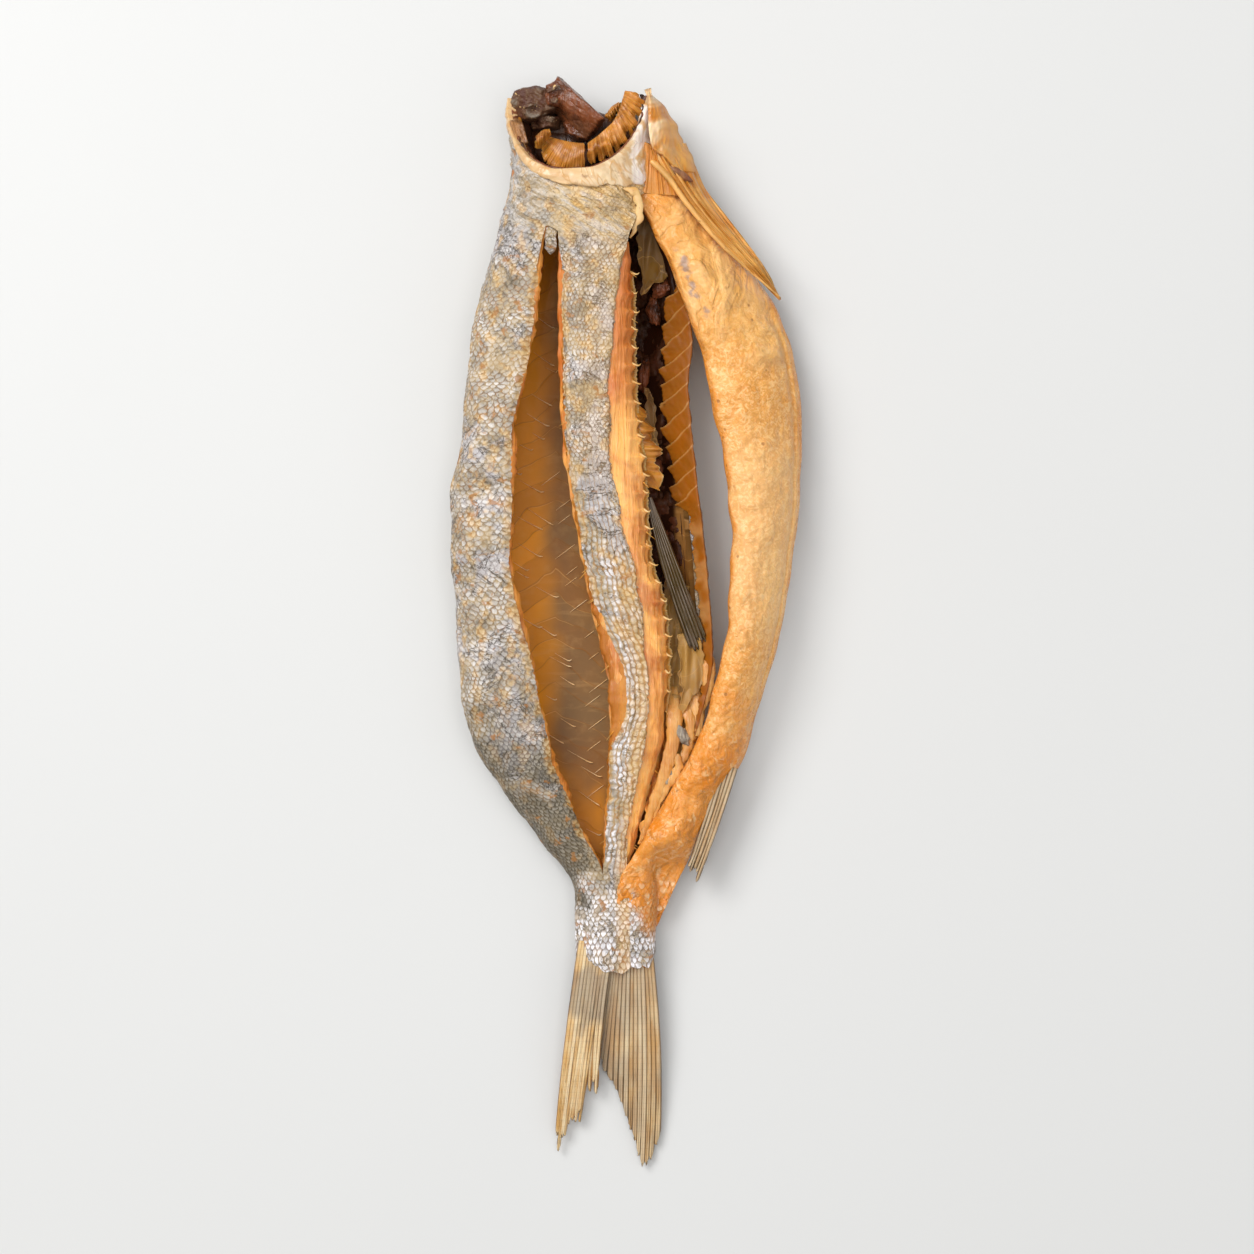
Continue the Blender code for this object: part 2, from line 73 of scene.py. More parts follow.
SLIT_RIGHT = [(90, -14.0), (76, -13.1), (66, -12.8), (38, -12.2), (23, -10.2), (5, -6.8), (-15, -3.0),
              (-29, -3.4), (-48, -4.6), (-65, -4.2)]
MIDDLE_EDGE = [
    (90, 1.6), (80, 2.2), (77, 1.8), (73.5, 0.2), (65, -0.9), (46, -2.6), (34, -2.8), (23, -0.6), (5, 3.0),
    (-15, 4.9), (-29, 2.5), (-48, -0.2), (-65, 0.4),
]
MIDDLE_FLESH = [
    (76, 0.6), (65, 0.9), (46, 1.2), (38, 2.0), (30, 3.0), (14, 4.0), (4, 6.8), (-7, 7.6), (-17, 7.4),
    (-29, 5.0), (-40, 2.0), (-49, 0.2),
]
FAR_EDGE = [(101, 4.4), (82, 5.0), (72, 8.5), (60, 11.1), (34, 12.1), (7, 14.0), (-6, 15.0), (-17, 13.2),
            (-28, 9.0), (-40, 5.3), (-52, 5.2), (-65, 5.4)]
BELLY_LEFT = [
    (98, 1.4), (84, 1.2), (80, 1.8), (77, 3.3), (73, 5.2), (70, 7.0), (60, 10.9), (48, 14.6), (42, 15.9),
    (24, 19.0), (9, 19.4), (-8, 17.2), (-24, 12.0), (-38, 4.0), (-44, 0.6), (-49, -2.0), (-54, -2.2),
    (-58, -0.8), (-61, 1.2),
]
BELLY_RIGHT = [(98, 5.4), (91, 9.8), (77, 18.6), (65, 26.0), (52, 31.6), (38, 33.4), (22, 32.6), (5, 30.4),
               (-12, 26.2), (-24, 22.4), (-34, 16.8), (-46, 10.8), (-52, 7.8), (-56, 6.2), (-61, 5.2)]
TOP = [(101, 20.0), (83, 23.2), (60, 21.6), (40, 20.2), (20, 19.0), (0, 17.4), (-20, 15.2), (-35, 12.8),
       (-49, 10.4), (-57, 9.0), (-65, 7.2)]
BOTTOM = [(101, 0.2), (90, -1.3), (-25, -1.3), (-45, -0.3), (-56, 1.0), (-65, 2.0)]
BAND_INNER = [
    (68, 11.4), (60, 7.4), (53, 7.2), (45, 7.0), (38, 7.4), (30, 8.8), (25, 9.0), (21, 11.6), (8, 13.0),
    (-6, 14.4), (-17, 13.0), (-24, 11.6),
]
BAND_OUTER = [
    (68, 11.6), (60, 11.6), (54, 12.2), (46, 11.4), (38, 12.0), (30, 12.8), (20, 13.9), (7, 15.2),
    (-6, 16.0), (-17, 13.8), (-24, 11.8),
]
TORN_FLAP = [
    (42.2, 1.8), (40.4, 3.4), (39.0, 3.4), (37.2, 5.0), (35.8, 4.3), (33.0, 6.5), (31.6, 5.0), (29.0, 6.6),
    (27.2, 5.6),
]
CAVITY_FOLDS = [
    ([(8.4, -11.5, 7.6), (8.8, -19.0, 10.2), (7.6, -26.0, 10.2), (4.8, -34.0, 9.6), (2.6, -41.0, 8.8)], 1.0),
    ([(10.4, -12.5, 7.6), (11.8, -19.0, 9.6), (11.2, -23.5, 9.6), (8.8, -28.0, 9.6)], 0.75),
    ([(12.4, -9.0, 7.4), (13.2, -17.5, 9.0), (12.2, -22.0, 9.0), (9.6, -27.0, 8.8), (6.4, -34.0, 8.6)], 0.95),
    ([(9.2, -24.2, 10.2), (9.6, -26.4, 10.2), (7.4, -30.5, 10.0), (4.6, -37.0, 9.2)], 0.6),
    ([(14.4, -3.0, 7.4), (15.5, -8.0, 9.4), (14.8, -13.5, 9.2), (12.8, -18.0, 8.4)], 0.8),
]
BELLY_LEFT_Z = [
    (98, 15.0), (79, 16.8), (60, 16.2), (30, 15.2), (0, 13.6), (-30, 10.4), (-48, 7.6), (-57, 5.4),
]
BELLY_RIGHT_Z = [(98, 11.0), (79, 8.4), (60, 6.8), (30, 6.0), (0, 5.8), (-30, 6.0), (-48, 5.2), (-57, 4.2)]
BELLY_CROWN = [(98, 1.2), (84, 3.6), (70, 5.2), (50, 6.2), (20, 6.0), (-10, 5.0), (-35, 3.8), (-57, 2.2)]

# ---- The collar's rim: the y of its inner and outer edges, by angle round the body ----
RIM_INNER = [
    (0, 101), (0.2, 97.2), (0.44, 93.1), (0.7, 89.8), (0.99, 87.0), (1.33, 85.4), (1.62, 85.6),
    (1.92, 87.4), (2.29, 91.4), (2.56, 95.5), (2.71, 99.0), (3.0, 100.9), (3.3, 101),
]
RIM_OUTER = [
    (0, 97.5), (0.23, 93.6), (0.45, 91.6), (0.67, 88.2), (0.91, 85.4), (1.2, 83.4), (1.57, 82.2),
    (1.86, 82.2), (2.13, 82.5), (2.39, 82.7), (2.62, 84.6), (2.72, 88), (2.9, 93), (3.3, 96),
]

# ---- Scales: how far they bow, and their visible length and width in mm, down the fish ----
SCALE_BULGE = 0.85
SCALE_LENGTH = [(101, 0.62), (76, 0.68), (40, 0.84), (0, 0.88), (-40, 0.74), (-54, 0.9), (-65, 1.45)]
BACK_WIDTH = [(101, 1.1), (76, 1.15), (60, 1.4), (38, 1.55), (4, 1.5), (-20, 1.1), (-46, 0.95), (-65, 1.15)]
MIDDLE_WIDTH = [(101, 1.1), (76, 1.1), (62, 0.84), (30, 0.88), (0, 1.02), (-46, 1.0), (-65, 1.15)]


# ---- Where the ribs, the freed band and the belly strip begin and end, as y in mm ----
FIRST_RIB_Y, LAST_RIB_Y = 66.0, -18.0
BAND_ENDS = (66.0, -24.0)
BELLY_ENDS = (84.0, -61.0)
SHUT_EDGE = 30.0  # how far away a cut edge counts where its slit is shut

# ---- The stage, in metres, and its lights: name, power, size and spot ----
FLOOR_SIZE = 6.0
AMBIENT = 0.28
CAMERA_SPOT = (-0.0002, 0.0, 0.62)
LENS = 92
SENSOR_WIDTH = 36
LIGHTS = (
    ("key_light", 6.8, 0.45, (-0.45, 0.42, 0.72)),
    ("fill_light", 1.5, 0.9, (0.70, -0.30, 0.70)),
    ("top_light", 11.0, 1.2, (0, 0.1, 1.5)),
)

# ---- Colours: what each is for, and its red, green and blue ----
COLOURS = {
    # The pearly middle of a scale, which also serves as its painted highlight.
    "pearl": ("Bright middle of a scale", 0.82, 0.78, 0.75),
    "dull_scale": ("Worn grey scale", 0.25, 0.215, 0.155),
    "bead": ("White scales of the tail root", 1.0, 0.97, 1.0),
    "silver": ("Silver skin between scales", 0.31, 0.262, 0.20),
    "cream": ("Creamy skin", 0.48, 0.35, 0.19),
    # A painted bluish sheen, laid in broad patches over the scales.
    "mist": ("Bluish sheen", 0.46, 0.44, 0.47),
    "mist_warm": ("White bloom on bone", 0.86, 0.70, 0.48),
    "oil": ("Golden fish oil", 0.56, 0.27, 0.055),
    # Dark oil, and also painted shade in grooves, folds and the gaps between teeth.
    "oil_dark": ("Dark oil in grooves", 0.24, 0.095, 0.018),
    "gold": ("Golden scale", 0.82, 0.53, 0.20),
    "rust": ("Rusty stains", 0.42, 0.17, 0.035),
    "scale_gap": ("Shadowed gap between scales", 0.17, 0.12, 0.07),
    # Grey skin of the back, and also painted shade in the skin's creases.
    "dark_skin": ("Grey skin of the back", 0.06, 0.046, 0.026),
    "speck": ("Small dark specks", 0.09, 0.05, 0.025),
    "amber": ("Clear dried flesh", 0.84, 0.31, 0.003),
    "band": ("Freed band of the far wall", 0.30, 0.085, 0.003),
    # Thick dried flesh, and also painted shade: beside the far wall's seams, where its shade mark lies, and
    # at the foot of the freed band's segments.
    "amber_shade": ("Thick dried flesh", 0.30, 0.095, 0.006),
    "amber_rim": ("Flesh at the cut edges", 0.42, 0.12, 0.010),
    "amber_light": ("Thin dried flesh", 0.56, 0.22, 0.035),
    "honey": ("Glowing flesh", 0.84, 0.31, 0.010),
    "pin": ("Pin bones and fine seams", 0.90, 0.52, 0.19),
    "brown_wall": ("Far wall towards the belly", 0.215, 0.115, 0.040),
    "bone": ("Ribs and thin bone", 0.74, 0.48, 0.20),
    "mist_white": ("White of the collar's edge", 0.66, 0.52, 0.35),
    "bone_warm": ("Gold of the collar's edge", 0.62, 0.35, 0.13),
    "bone_white": ("Bone of the collar's edge", 0.74, 0.54, 0.31),
    "blood": ("Darkest remains", 0.022, 0.006, 0.002),
    "dark_flesh": ("Dark dried flesh", 0.075, 0.020, 0.008),
    "red_flesh": ("Red-brown dried flesh", 0.20, 0.055, 0.018),
    "gut_brown": ("Brown dried remains", 0.13, 0.060, 0.022),
    "mould": ("Grey bloom", 0.22, 0.18, 0.14),
    "olive": ("Olive membranes", 0.22, 0.108, 0.018),
    "olive_dark": ("Back fin", 0.075, 0.045, 0.012),
    "dark_streak": ("Streaks in dark flesh", 0.30, 0.13, 0.05),
    "cut_deep": ("Cut flesh, deep", 0.55, 0.135, 0.014),
    "cut_light": ("Cut flesh, light", 1.0, 0.46, 0.105),
    "cut_streak": ("Pale fibres of the cut", 0.96, 0.66, 0.33),
    "belly": ("Belly skin", 0.76, 0.325, 0.066),
    # Light belly skin, and also the painted highlight on the ridges of folded fin skin.
    "belly_light": ("Light belly skin", 0.84, 0.435, 0.125),
    # Pale mottling, and also the painted highlights on the oily belly.
    "belly_pale": ("Pale mottling", 0.98, 0.68, 0.34),
    "belly_tan": ("Tan mottling", 0.56, 0.235, 0.05),
    "belly_oil": ("Orange oil near the tail", 0.74, 0.215, 0.005),
    "vein": ("Grey violet vein", 0.40, 0.25, 0.17),
    "pore": ("Pores in the skin", 0.34, 0.13, 0.03),
    "ray": ("Fin ray", 0.74, 0.52, 0.26),
    "ray_pale": ("Pale fin ray", 0.88, 0.74, 0.50),
    "ray_gold": ("Golden fin ray", 0.58, 0.31, 0.085),
    "ray_grey": ("Smoky fin ray", 0.24, 0.19, 0.15),
    "web_gold": ("Fin web, golden", 0.38, 0.18, 0.05),
    "web_grey": ("Fin web, grey", 0.11, 0.075, 0.045),
    "fin_gold": ("Breast fin, golden", 0.74, 0.36, 0.08),
    "fin_orange": ("Breast fin, orange", 0.54, 0.19, 0.018),
    "comb_deep": ("Gill comb, deep", 0.26, 0.08, 0.006),
    "comb_light": ("Gill comb, light", 0.54, 0.20, 0.022),
}


# ---- Curves, masks and noise -----------------------------------------------------------------
def along(y, knots):
    """The value at y, a number or an array, of the smooth curve through (y, value) knots."""
    places, values = np.array(sorted(knots), float).T
    steps = np.diff(values) / np.diff(places)
    total = steps[:-1] + steps[1:]
    product = steps[:-1] * steps[1:]
    inner = np.where(product > 0, 2 * product / np.where(total == 0, 1, total), 0)
    slopes = np.concatenate((steps[:1], inner, steps[-1:]))
    y = np.clip(y, places[0], places[-1])
    k = np.clip(np.searchsorted(places, y, side="right") - 1, 0, len(steps) - 1)
    width = places[k + 1] - places[k]
    t = (y - places[k]) / width
    start = values[k] * (1 + 2 * t) + slopes[k] * width * t
    end = values[k + 1] * (3 - 2 * t) + slopes[k + 1] * width * (t - 1)
    return start * (1 - t) ** 2 + end * t * t


def mix(a, b, t):
    return a + (b - a) * t


def smooth(low, high, value):
    """0 below low, 1 above high, and an S-curve between. low may be the larger."""
    t = unit((value - low) / (high - low))
    return t * t * (3 - 2 * t)


def unit(value):
    return np.clip(value, 0, 1)


def stacked(*columns):
    """Points from their columns, or other columns side by side."""
    return np.stack(columns, -1)


def power(value, exponent):
    return np.sign(value) * np.abs(value) ** exponent


def ripple(points, wavelength, seed, octaves=3):
    """Smooth noise of about -1 to 1: sine waves in seeded directions, each octave finer and weaker."""
    rng = np.random.default_rng(seed)
    total, weight, strength = 0.0, 0.0, 1.0
    for _ in range(octaves):
        ways = rng.normal(size=(7, points.shape[-1]))
        ways /= np.linalg.norm(ways, axis=1, keepdims=True)
        ways *= 2 * math.pi / wavelength * rng.uniform(0.7, 1.4, (7, 1))
        waves = np.sin(points @ ways.T + rng.uniform(0, 2 * math.pi, 7))
        total = total + strength * waves.sum(-1) / 2.6
        weight += strength
        strength *= 0.55
        wavelength /= 2.1
    return total / weight


def line_noise(y, wavelength, seed, octaves=3):
    return ripple(np.asarray(y)[..., None], wavelength, seed, octaves)


# ---- The body tube ---------------------------------------------------------------------------
def tube(y, angle, inset=0.0, roundness=ROUNDNESS):
    """Points on the body's cross-section. Angle 0 is the back, a quarter turn on the near side."""
    left, right = along(y, LEFT_EDGE), along(y, FAR_EDGE)
    low, high = along(y, BOTTOM), along(y, TOP)
    x = (left + right) / 2 - ((right - left) / 2 - inset) * power(np.cos(angle), 2 / roundness)
    z = (low + high) / 2 + ((high - low) / 2 - inset) * power(np.sin(angle), 2 / roundness)
    return stacked(x, y + 0 * x, np.maximum(z, 0.0))


def angle_at(y, x):
    """The angle at which the near side of the tube stands at x."""
    left, right = along(y, LEFT_EDGE), along(y, FAR_EDGE)
    share = np.clip((2 * x - left - right) / (right - left), -1, 1)
    return np.arccos(-power(share, ROUNDNESS / 2))


def rim_y(angle):
    """Where the collar's mouth ends: a deep U on the near side, a shallow notch on the far side."""
    around = np.sin(angle)
    near = SIDE_RIM_Y - (SIDE_RIM_Y - FRONT_RIM_Y) * unit(around) ** 0.85
    return near - RIM_NOTCH * unit(-around) ** 1.5


def station(nominal, angle):
    """The true y of a row: only the collar's rows follow its mouth."""
    rise = unit((nominal - SLIT_TOP_Y) / (FRONT_RIM_Y - SLIT_TOP_Y))
    return nominal + (rim_y(angle) - FRONT_RIM_Y) * rise


def opened(y, top=SLIT_TOP_Y):
    """0 where the slits are shut, at the collar and the tail root, and 1 along the strips."""
    return smooth(top, top - 9, y) * smooth(SLIT_END_Y, SLIT_END_Y + 9, y)


def slit_right(y):
    parted = smooth(SLIT_TOP_Y + 0.4, SLIT_TOP_Y - 1.2, y) * smooth(SLIT_END_Y, SLIT_END_Y + 5, y)
    return mix(along(y, SLIT_LEFT), along(y, SLIT_RIGHT), parted)


def row_y(u):
    """The nominal y of row u. The collar's rows stand closer, because its sides stretch them."""
    return np.interp(u, [0, 0.12, 1], [FRONT_RIM_Y, SLIT_TOP_Y, TAIL_ROOT_Y])


def unevenness(y, across):
    """The slow swell and sag of dried skin, in mm."""
    return 0.35 * np.sin(0.19 * y + 2.3 * across) + 0.25 * np.sin(0.43 * y - 4.1 * across + 1.0)


def arc_lengths(points):
    """How far each point of a row lies from the row's first point."""
    steps = np.linalg.norm(np.diff(points, axis=1), axis=2)
    return np.concatenate((np.zeros((len(points), 1)), np.cumsum(steps, axis=1)), axis=1)


# ---- Fish scales -----------------------------------------------------------------------------
def rows_down(y):
    """How many rows of scales lie above y."""
    places = np.linspace(104.0, -72.0, 700)
    counts = np.cumsum(1 / along(places, SCALE_LENGTH)) * (places[0] - places[1])
    return np.interp(-y, -places, counts)


def scale_cells(across, y, width):
    """Cell coordinates of the scale pattern, gently warped, so that the rows run like grown ones."""
    sizes = bpy.context.scene.dried_fish_sizes
    spot = stacked(across, y)
    across = across + 0.40 * ripple(spot, 9, 5, 3)
    y = y + 0.45 * ripple(spot, 8, 6, 3)
    return stacked(across / (width * sizes.scale_size) + 200, rows_down(y) / sizes.scale_size)


def scale_rise(cells):
    """How far each point stands up on its scale: 1 at the free edge, less towards the head."""
    u, v = cells[..., 0], cells[..., 1]
    row = np.floor(v)
    f = v - row
    odd = row % 2
    own = np.mod(u + 0.5 * odd, 1) - 0.5
    upper = np.mod(u + 0.5 * (1 - odd), 1) - 0.5
    reach = SCALE_BULGE * (1 - 4 * upper**2) - f
    own_reach = 1 + SCALE_BULGE * (1 - 4 * own**2) - f
    edge = np.where(reach > 0, reach, own_reach)
    across = np.where(reach > 0, upper, own)
    dome = 1 - (2 * across) ** 2
    return (1 - edge / (1 + SCALE_BULGE)) * smooth(0.0, 0.16, edge) * (0.55 + 0.45 * dome)


# ---- Making pieces ---------------------------------------------------------------------------
class Points(np.ndarray):
    """Points in mm, with names for their first two columns."""

    @property
    def x(self):
        return self[..., 0]

    @property
    def y(self):
        return self[..., 1]


def sizes():
    return bpy.context.scene.dried_fish_sizes


def colours():
    return bpy.context.scene.dried_fish_colours


def deselect():
    if bpy.context.mode != "OBJECT":
        bpy.ops.object.mode_set(mode="OBJECT")
    bpy.ops.object.select_all(action="DESELECT")


def only(piece):
    deselect()
    piece.select_set(True)
    bpy.context.view_layer.objects.active = piece


def just_added(name):
    piece = bpy.context.object
    piece.name = piece.data.name = name
    return piece


def read_points(mesh):
    flat = np.empty(len(mesh.vertices) * 3)
    mesh.vertices.foreach_get("co", flat)
    return flat.reshape(-1, 3)


def write_points(mesh, points):
    mesh.vertices.foreach_set("co", (points * MM).ravel())
    mesh.update()


def grid_piece(name, rows, columns, place, pattern=None, marks=None):
    """Adds a grid and sends its points to place(u, v), with u down the rows and v across.

    pattern(points, u, v) gives the UV map, else it holds v and u. marks is a dictionary of functions like
    it, each of which gives an attribute of that name.
    """
    deselect()
    bpy.ops.mesh.primitive_grid_add(x_subdivisions=columns, y_subdivisions=rows, size=2)
    piece = just_added(name)
    mesh = piece.data
    flat = read_points(mesh)
    column = np.rint((flat[:, 0] + 1) / 2 * columns).astype(int)
    row = np.rint((1 - flat[:, 1]) / 2 * rows).astype(int)
    v, u = np.meshgrid(np.linspace(0, 1, columns + 1), np.linspace(0, 1, rows + 1))
    points = place(u, v).view(Points)
    write_points(mesh, points[row, column])
    cells = pattern(points, u, v) if pattern else stacked(v, u)
    corner = np.empty(len(mesh.loops), int)
    mesh.loops.foreach_get("vertex_index", corner)
    mesh.uv_layers.active.data.foreach_set("uv", cells[row, column][corner].ravel())
    for mark, measure in (marks or {}).items():
        values = measure(points, u, v)[row, column]
        mesh.attributes.new(mark, "FLOAT", "POINT").data.foreach_set("value", values)
    return piece


def weld(piece):
    """Merges points that coincide and turns the faces outwards."""
    only(piece)
    bpy.ops.object.mode_set(mode="EDIT")
    bpy.ops.mesh.select_all(action="SELECT")
    bpy.ops.mesh.remove_doubles(threshold=0.00001)
    bpy.ops.mesh.normals_make_consistent(inside=False)
    bpy.ops.object.mode_set(mode="OBJECT")
    return piece


def thicken(piece, thickness, offset=-1.0):
    """Gives a sheet its wall, in mm, on the inner side."""
    only(piece)
    wall = piece.modifiers.new("wall", "SOLIDIFY")
    wall.thickness = thickness * MM
    wall.offset = offset
    bpy.ops.object.modifier_apply(modifier=wall.name)
    return piece


def join(name, pieces):
    only(pieces[0])
    for piece in pieces:
        piece.select_set(True)
    bpy.ops.object.join()
    return just_added(name)


def remove_faces(piece, chosen):
    """Deletes the faces whose index chosen holds, and the points that are left over."""
    only(piece)
    bpy.ops.object.mode_set(mode="EDIT")
    bpy.ops.mesh.select_all(action="DESELECT")
    bpy.ops.mesh.select_mode(type="FACE")
    bpy.ops.object.mode_set(mode="OBJECT")
    piece.data.polygons.foreach_set("select", chosen)
    bpy.ops.object.mode_set(mode="EDIT")
    bpy.ops.mesh.delete(type="FACE")
    bpy.ops.mesh.select_mode(type="VERT")
    bpy.ops.object.mode_set(mode="OBJECT")
    return piece


def finish_piece(piece, material):
    """Gives the piece its material and its body, and stands it in for the solid."""
    only(piece)
    piece.data.materials.append(material)
    bpy.ops.object.shade_smooth()
    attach(piece, BODY)
    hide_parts(NODE)


def sheet(name, rows, columns, place, thickness, marks=None, pattern=None, offset=-1.0):
    return thicken(weld(grid_piece(name, rows, columns, place, pattern, marks)), thickness, offset)


def curve_at(knots, t):
    """Points of the smooth curve through the knots, where t counts knots."""
    return np.stack([along(t, list(enumerate(values))) for values in np.array(knots, float).T], -1)


def between_corners(corners, u, v):
    """Points across a four-cornered sheet, whose corners are given in turn."""
    v = v[..., None]
    return mix(mix(corners[0], corners[1], v), mix(corners[3], corners[2], v), u[..., None])


def curve_through(knots, count):
    return curve_at(knots, np.linspace(0, len(knots) - 1, count))


def rod(name, path, radii, sides=6, rough=0.0, seed=1, flat=1.0):
    """A round taper along a path of (x, y, z) points, in mm, with closed ends."""
    way = np.gradient(path, axis=0)
    way /= np.linalg.norm(way, axis=1, keepdims=True)
    side = np.cross(way, (0.05, 0.03, 1.0))
    side /= np.linalg.norm(side, axis=1, keepdims=True)
    up = np.cross(side, way) * flat
    rows = len(path) + 1

    def place(u, v):
        row = np.clip(np.rint(u * rows).astype(int) - 1, 0, len(path) - 1)
        radius = np.where((u == 0) | (u == 1), 0.0, radii[row])[..., None]
        turn = 2 * math.pi * v[..., None]
        out = side[row] * np.cos(turn) + up[row] * np.sin(turn)
        points = path[row] + radius * out
        return points + rough * out * (radius > 0) * ripple(points, 2.2, seed, 3)[..., None]

    def pattern(points, u, v):
        return stacked(v * 2, points[..., 1])

    return weld(grid_piece(name, rows, sides, place, pattern))


def faceted(ways, count, seed):
    """The points where rays along ways leave a block with count seeded facets besides its six sides."""
    rng = np.random.default_rng(seed)
    facets = rng.normal(size=(count, 3))
    facets /= np.linalg.norm(facets, axis=1, keepdims=True)
    facets = np.vstack((np.eye(3), -np.eye(3), facets))
    facing = np.clip(ways @ facets.T, 0, None) / rng.uniform(0.72, 1.0, len(facets))
    return ways / (facing**22).sum(1, keepdims=True) ** (1 / 22)


def lump(name, centre, radii, turn, roughness, seed, subdivisions=5, wavelength=1.6, facets=0):
    """An uneven lump of dried flesh: an icosphere, cut to facets where asked, pushed in and out."""
    deselect()
    bpy.ops.mesh.primitive_ico_sphere_add(subdivisions=subdivisions, radius=1)
    piece = just_added(name)
    points = read_points(piece.data)
    if facets:
        points = faceted(points, facets, seed)
    swell = 1 + roughness * ripple(points, wavelength, seed, 4)
    creases = (1 - np.abs(ripple(points, wavelength * 0.6, seed + 50, 2)) * 2.5).clip(0, 1)
    points = points * (swell - 0.35 * roughness * creases)[:, None] * np.array(radii)
    c, s = math.cos(math.radians(turn)), math.sin(math.radians(turn))
    x, y = points[:, 0] * c - points[:, 1] * s, points[:, 0] * s + points[:, 1] * c
    points = stacked(x, y, points[:, 2]) + np.array(centre)
    points[:, 2] = np.maximum(points[:, 2], 0.3)
    write_points(piece.data, points)
    return piece


def inner_wall_z(x, y, above):
    """Height of the far wall's inner face at x, plus above."""
    left, right = along(y, LEFT_EDGE), along(y, FAR_EDGE)
    low, high = along(y, BOTTOM), along(y, TOP)
    share = np.clip(np.abs(2 * x - left - right) / (right - left - 4.6), 0, 0.999)
    drop = ((high - low) / 2 - 2.3) * (1 - share**ROUNDNESS) ** (1 / ROUNDNESS)
    return np.maximum((low + high) / 2 - drop, 1.6) + above


# ---- Materials -------------------------------------------------------------------------------
class Signal:
    """A node's output. Sums and products of signals and numbers add Math nodes to its tree."""

    def __init__(self, socket):
        self.socket = socket

    def __add__(self, other):
        return calc("ADD", self, other)

    def __sub__(self, other):
        return calc("SUBTRACT", self, other)

    def __rsub__(self, other):
        return calc("SUBTRACT", other, self)

    def __mul__(self, other):
        return calc("MULTIPLY", self, other)

    def __abs__(self):
        return calc("ABSOLUTE", self)

    def scaled(self, factor, offset):
        return calc("MULTIPLY_ADD", self, factor, offset)

    def from_half(self):
        """How far its fractional part lies from a half."""
        return abs(calc("FRACT", self) - 0.5)

    def axis(self, index):
        return node("ShaderNodeSeparateXYZ", {0: self}, index)


def source(tree, kind, output=0, **settings):
    """Adds a node to the tree and gives one of its outputs."""
    made = tree.nodes.new(kind)
    for key, value in settings.items():
        setattr(made, key, value)
    return Signal(made.outputs[output])


def feed(made, inputs):
    """Links or sets a node's inputs. A string is the name of one of the fish's colours."""
    for key, value in inputs.items():
        if isinstance(value, Signal):
            made.id_data.links.new(value.socket, made.inputs[key])
        else:
            made.inputs[key].default_value = getattr(colours(), value) if isinstance(value, str) else value


def node(kind, inputs, output=0, **settings):
    """Adds a node to the tree that the signals among its inputs are in."""
    tree = next(value.socket.id_data for value in inputs.values() if isinstance(value, Signal))
    made = source(tree, kind, output, **settings)
    feed(made.socket.node, inputs)
    return made


def calc(operation, a, b=0.0, c=0.0):
    return node("ShaderNodeMath", {0: a, 1: b, 2: c}, operation=operation)


def vector_calc(operation, inputs, output=0):
    return node("ShaderNodeVectorMath", inputs, output, operation=operation)


def fade(value, low, high):
    """0 at low, 1 at high, smoothly. low may be the larger."""
    ends = (low, high, 0.0, 1.0) if low < high else (high, low, 1.0, 0.0)
    inputs = dict(zip(("From Min", "From Max", "To Min", "To Max"), ends), Value=value)
    return node("ShaderNodeMapRange", inputs, interpolation_type="SMOOTHSTEP")


def spread(value, low, high):
    return node("ShaderNodeMapRange", {"Value": value, "To Min": low, "To Max": high})


def blend(factor, a, b):
    return node("ShaderNodeMix", {0: factor, 6: a, 7: b}, 2, data_type="RGBA")


def grain(vector, scale, detail=3.0, roughness=0.55, distortion=0.0, output="Fac"):
    inputs = dict(Vector=vector, Scale=scale, Detail=detail, Roughness=roughness, Distortion=distortion)
    return node("ShaderNodeTexNoise", inputs, output)


def stretched(vector, scale, turn=0.0):
    return node("ShaderNodeMapping", {"Vector": vector, "Rotation": (0, 0, turn), "Scale": scale})


def wobbled(vector, position, scale, amount):
    """The vector, pushed about by noise."""
    away = vector_calc("SUBTRACT", {0: grain(position, scale, 2.0, 0.5, output="Color"), 1: (0.5, 0.5, 0.5)})
    return vector_calc("ADD", {0: vector, 1: vector_calc("SCALE", {0: away, "Scale": amount})})


def line_at(value, level, width):
    """1 where the value passes the level, in a thin line."""
    return fade(abs(value - level), width, 0.0)


def combined(x, y=0.0):
    return node("ShaderNodeCombineXYZ", {0: x, 1: y})


def chance_at(inputs, **settings):
    return node("ShaderNodeTexWhiteNoise", inputs, "Value", **settings)


def start_group(name, **inputs):
    """A node group and signals from its inputs, each a number with a default or, for None, a vector."""
    group = bpy.data.node_groups.new(name, "ShaderNodeTree")
    for label, value in inputs.items():
        kind = "NodeSocketVector" if value is None else "NodeSocketFloat"
        socket = group.interface.new_socket(label.replace("_", " "), in_out="INPUT", socket_type=kind)
        if value is not None:
            socket.default_value = value
    start = group.nodes.new("NodeGroupInput")
    return group, [Signal(start.outputs[k]) for k in range(len(inputs))]


def end_group(group, **outputs):
    for label in outputs:
        group.interface.new_socket(label, in_out="OUTPUT", socket_type="NodeSocketFloat")
    feed(group.nodes.new("NodeGroupOutput"), outputs)
    return group


def placed(build, **inputs):
    """Places the node group that build makes once, and gives its outputs by name. _ is a space."""
    group = bpy.data.node_groups.get(build.__name__) or build(build.__name__)
    inputs = {label.replace("_", " "): value for label, value in inputs.items()}
    made = node("ShaderNodeGroup", inputs, node_tree=group).socket.node
    return {socket.name: Signal(socket) for socket in made.outputs}


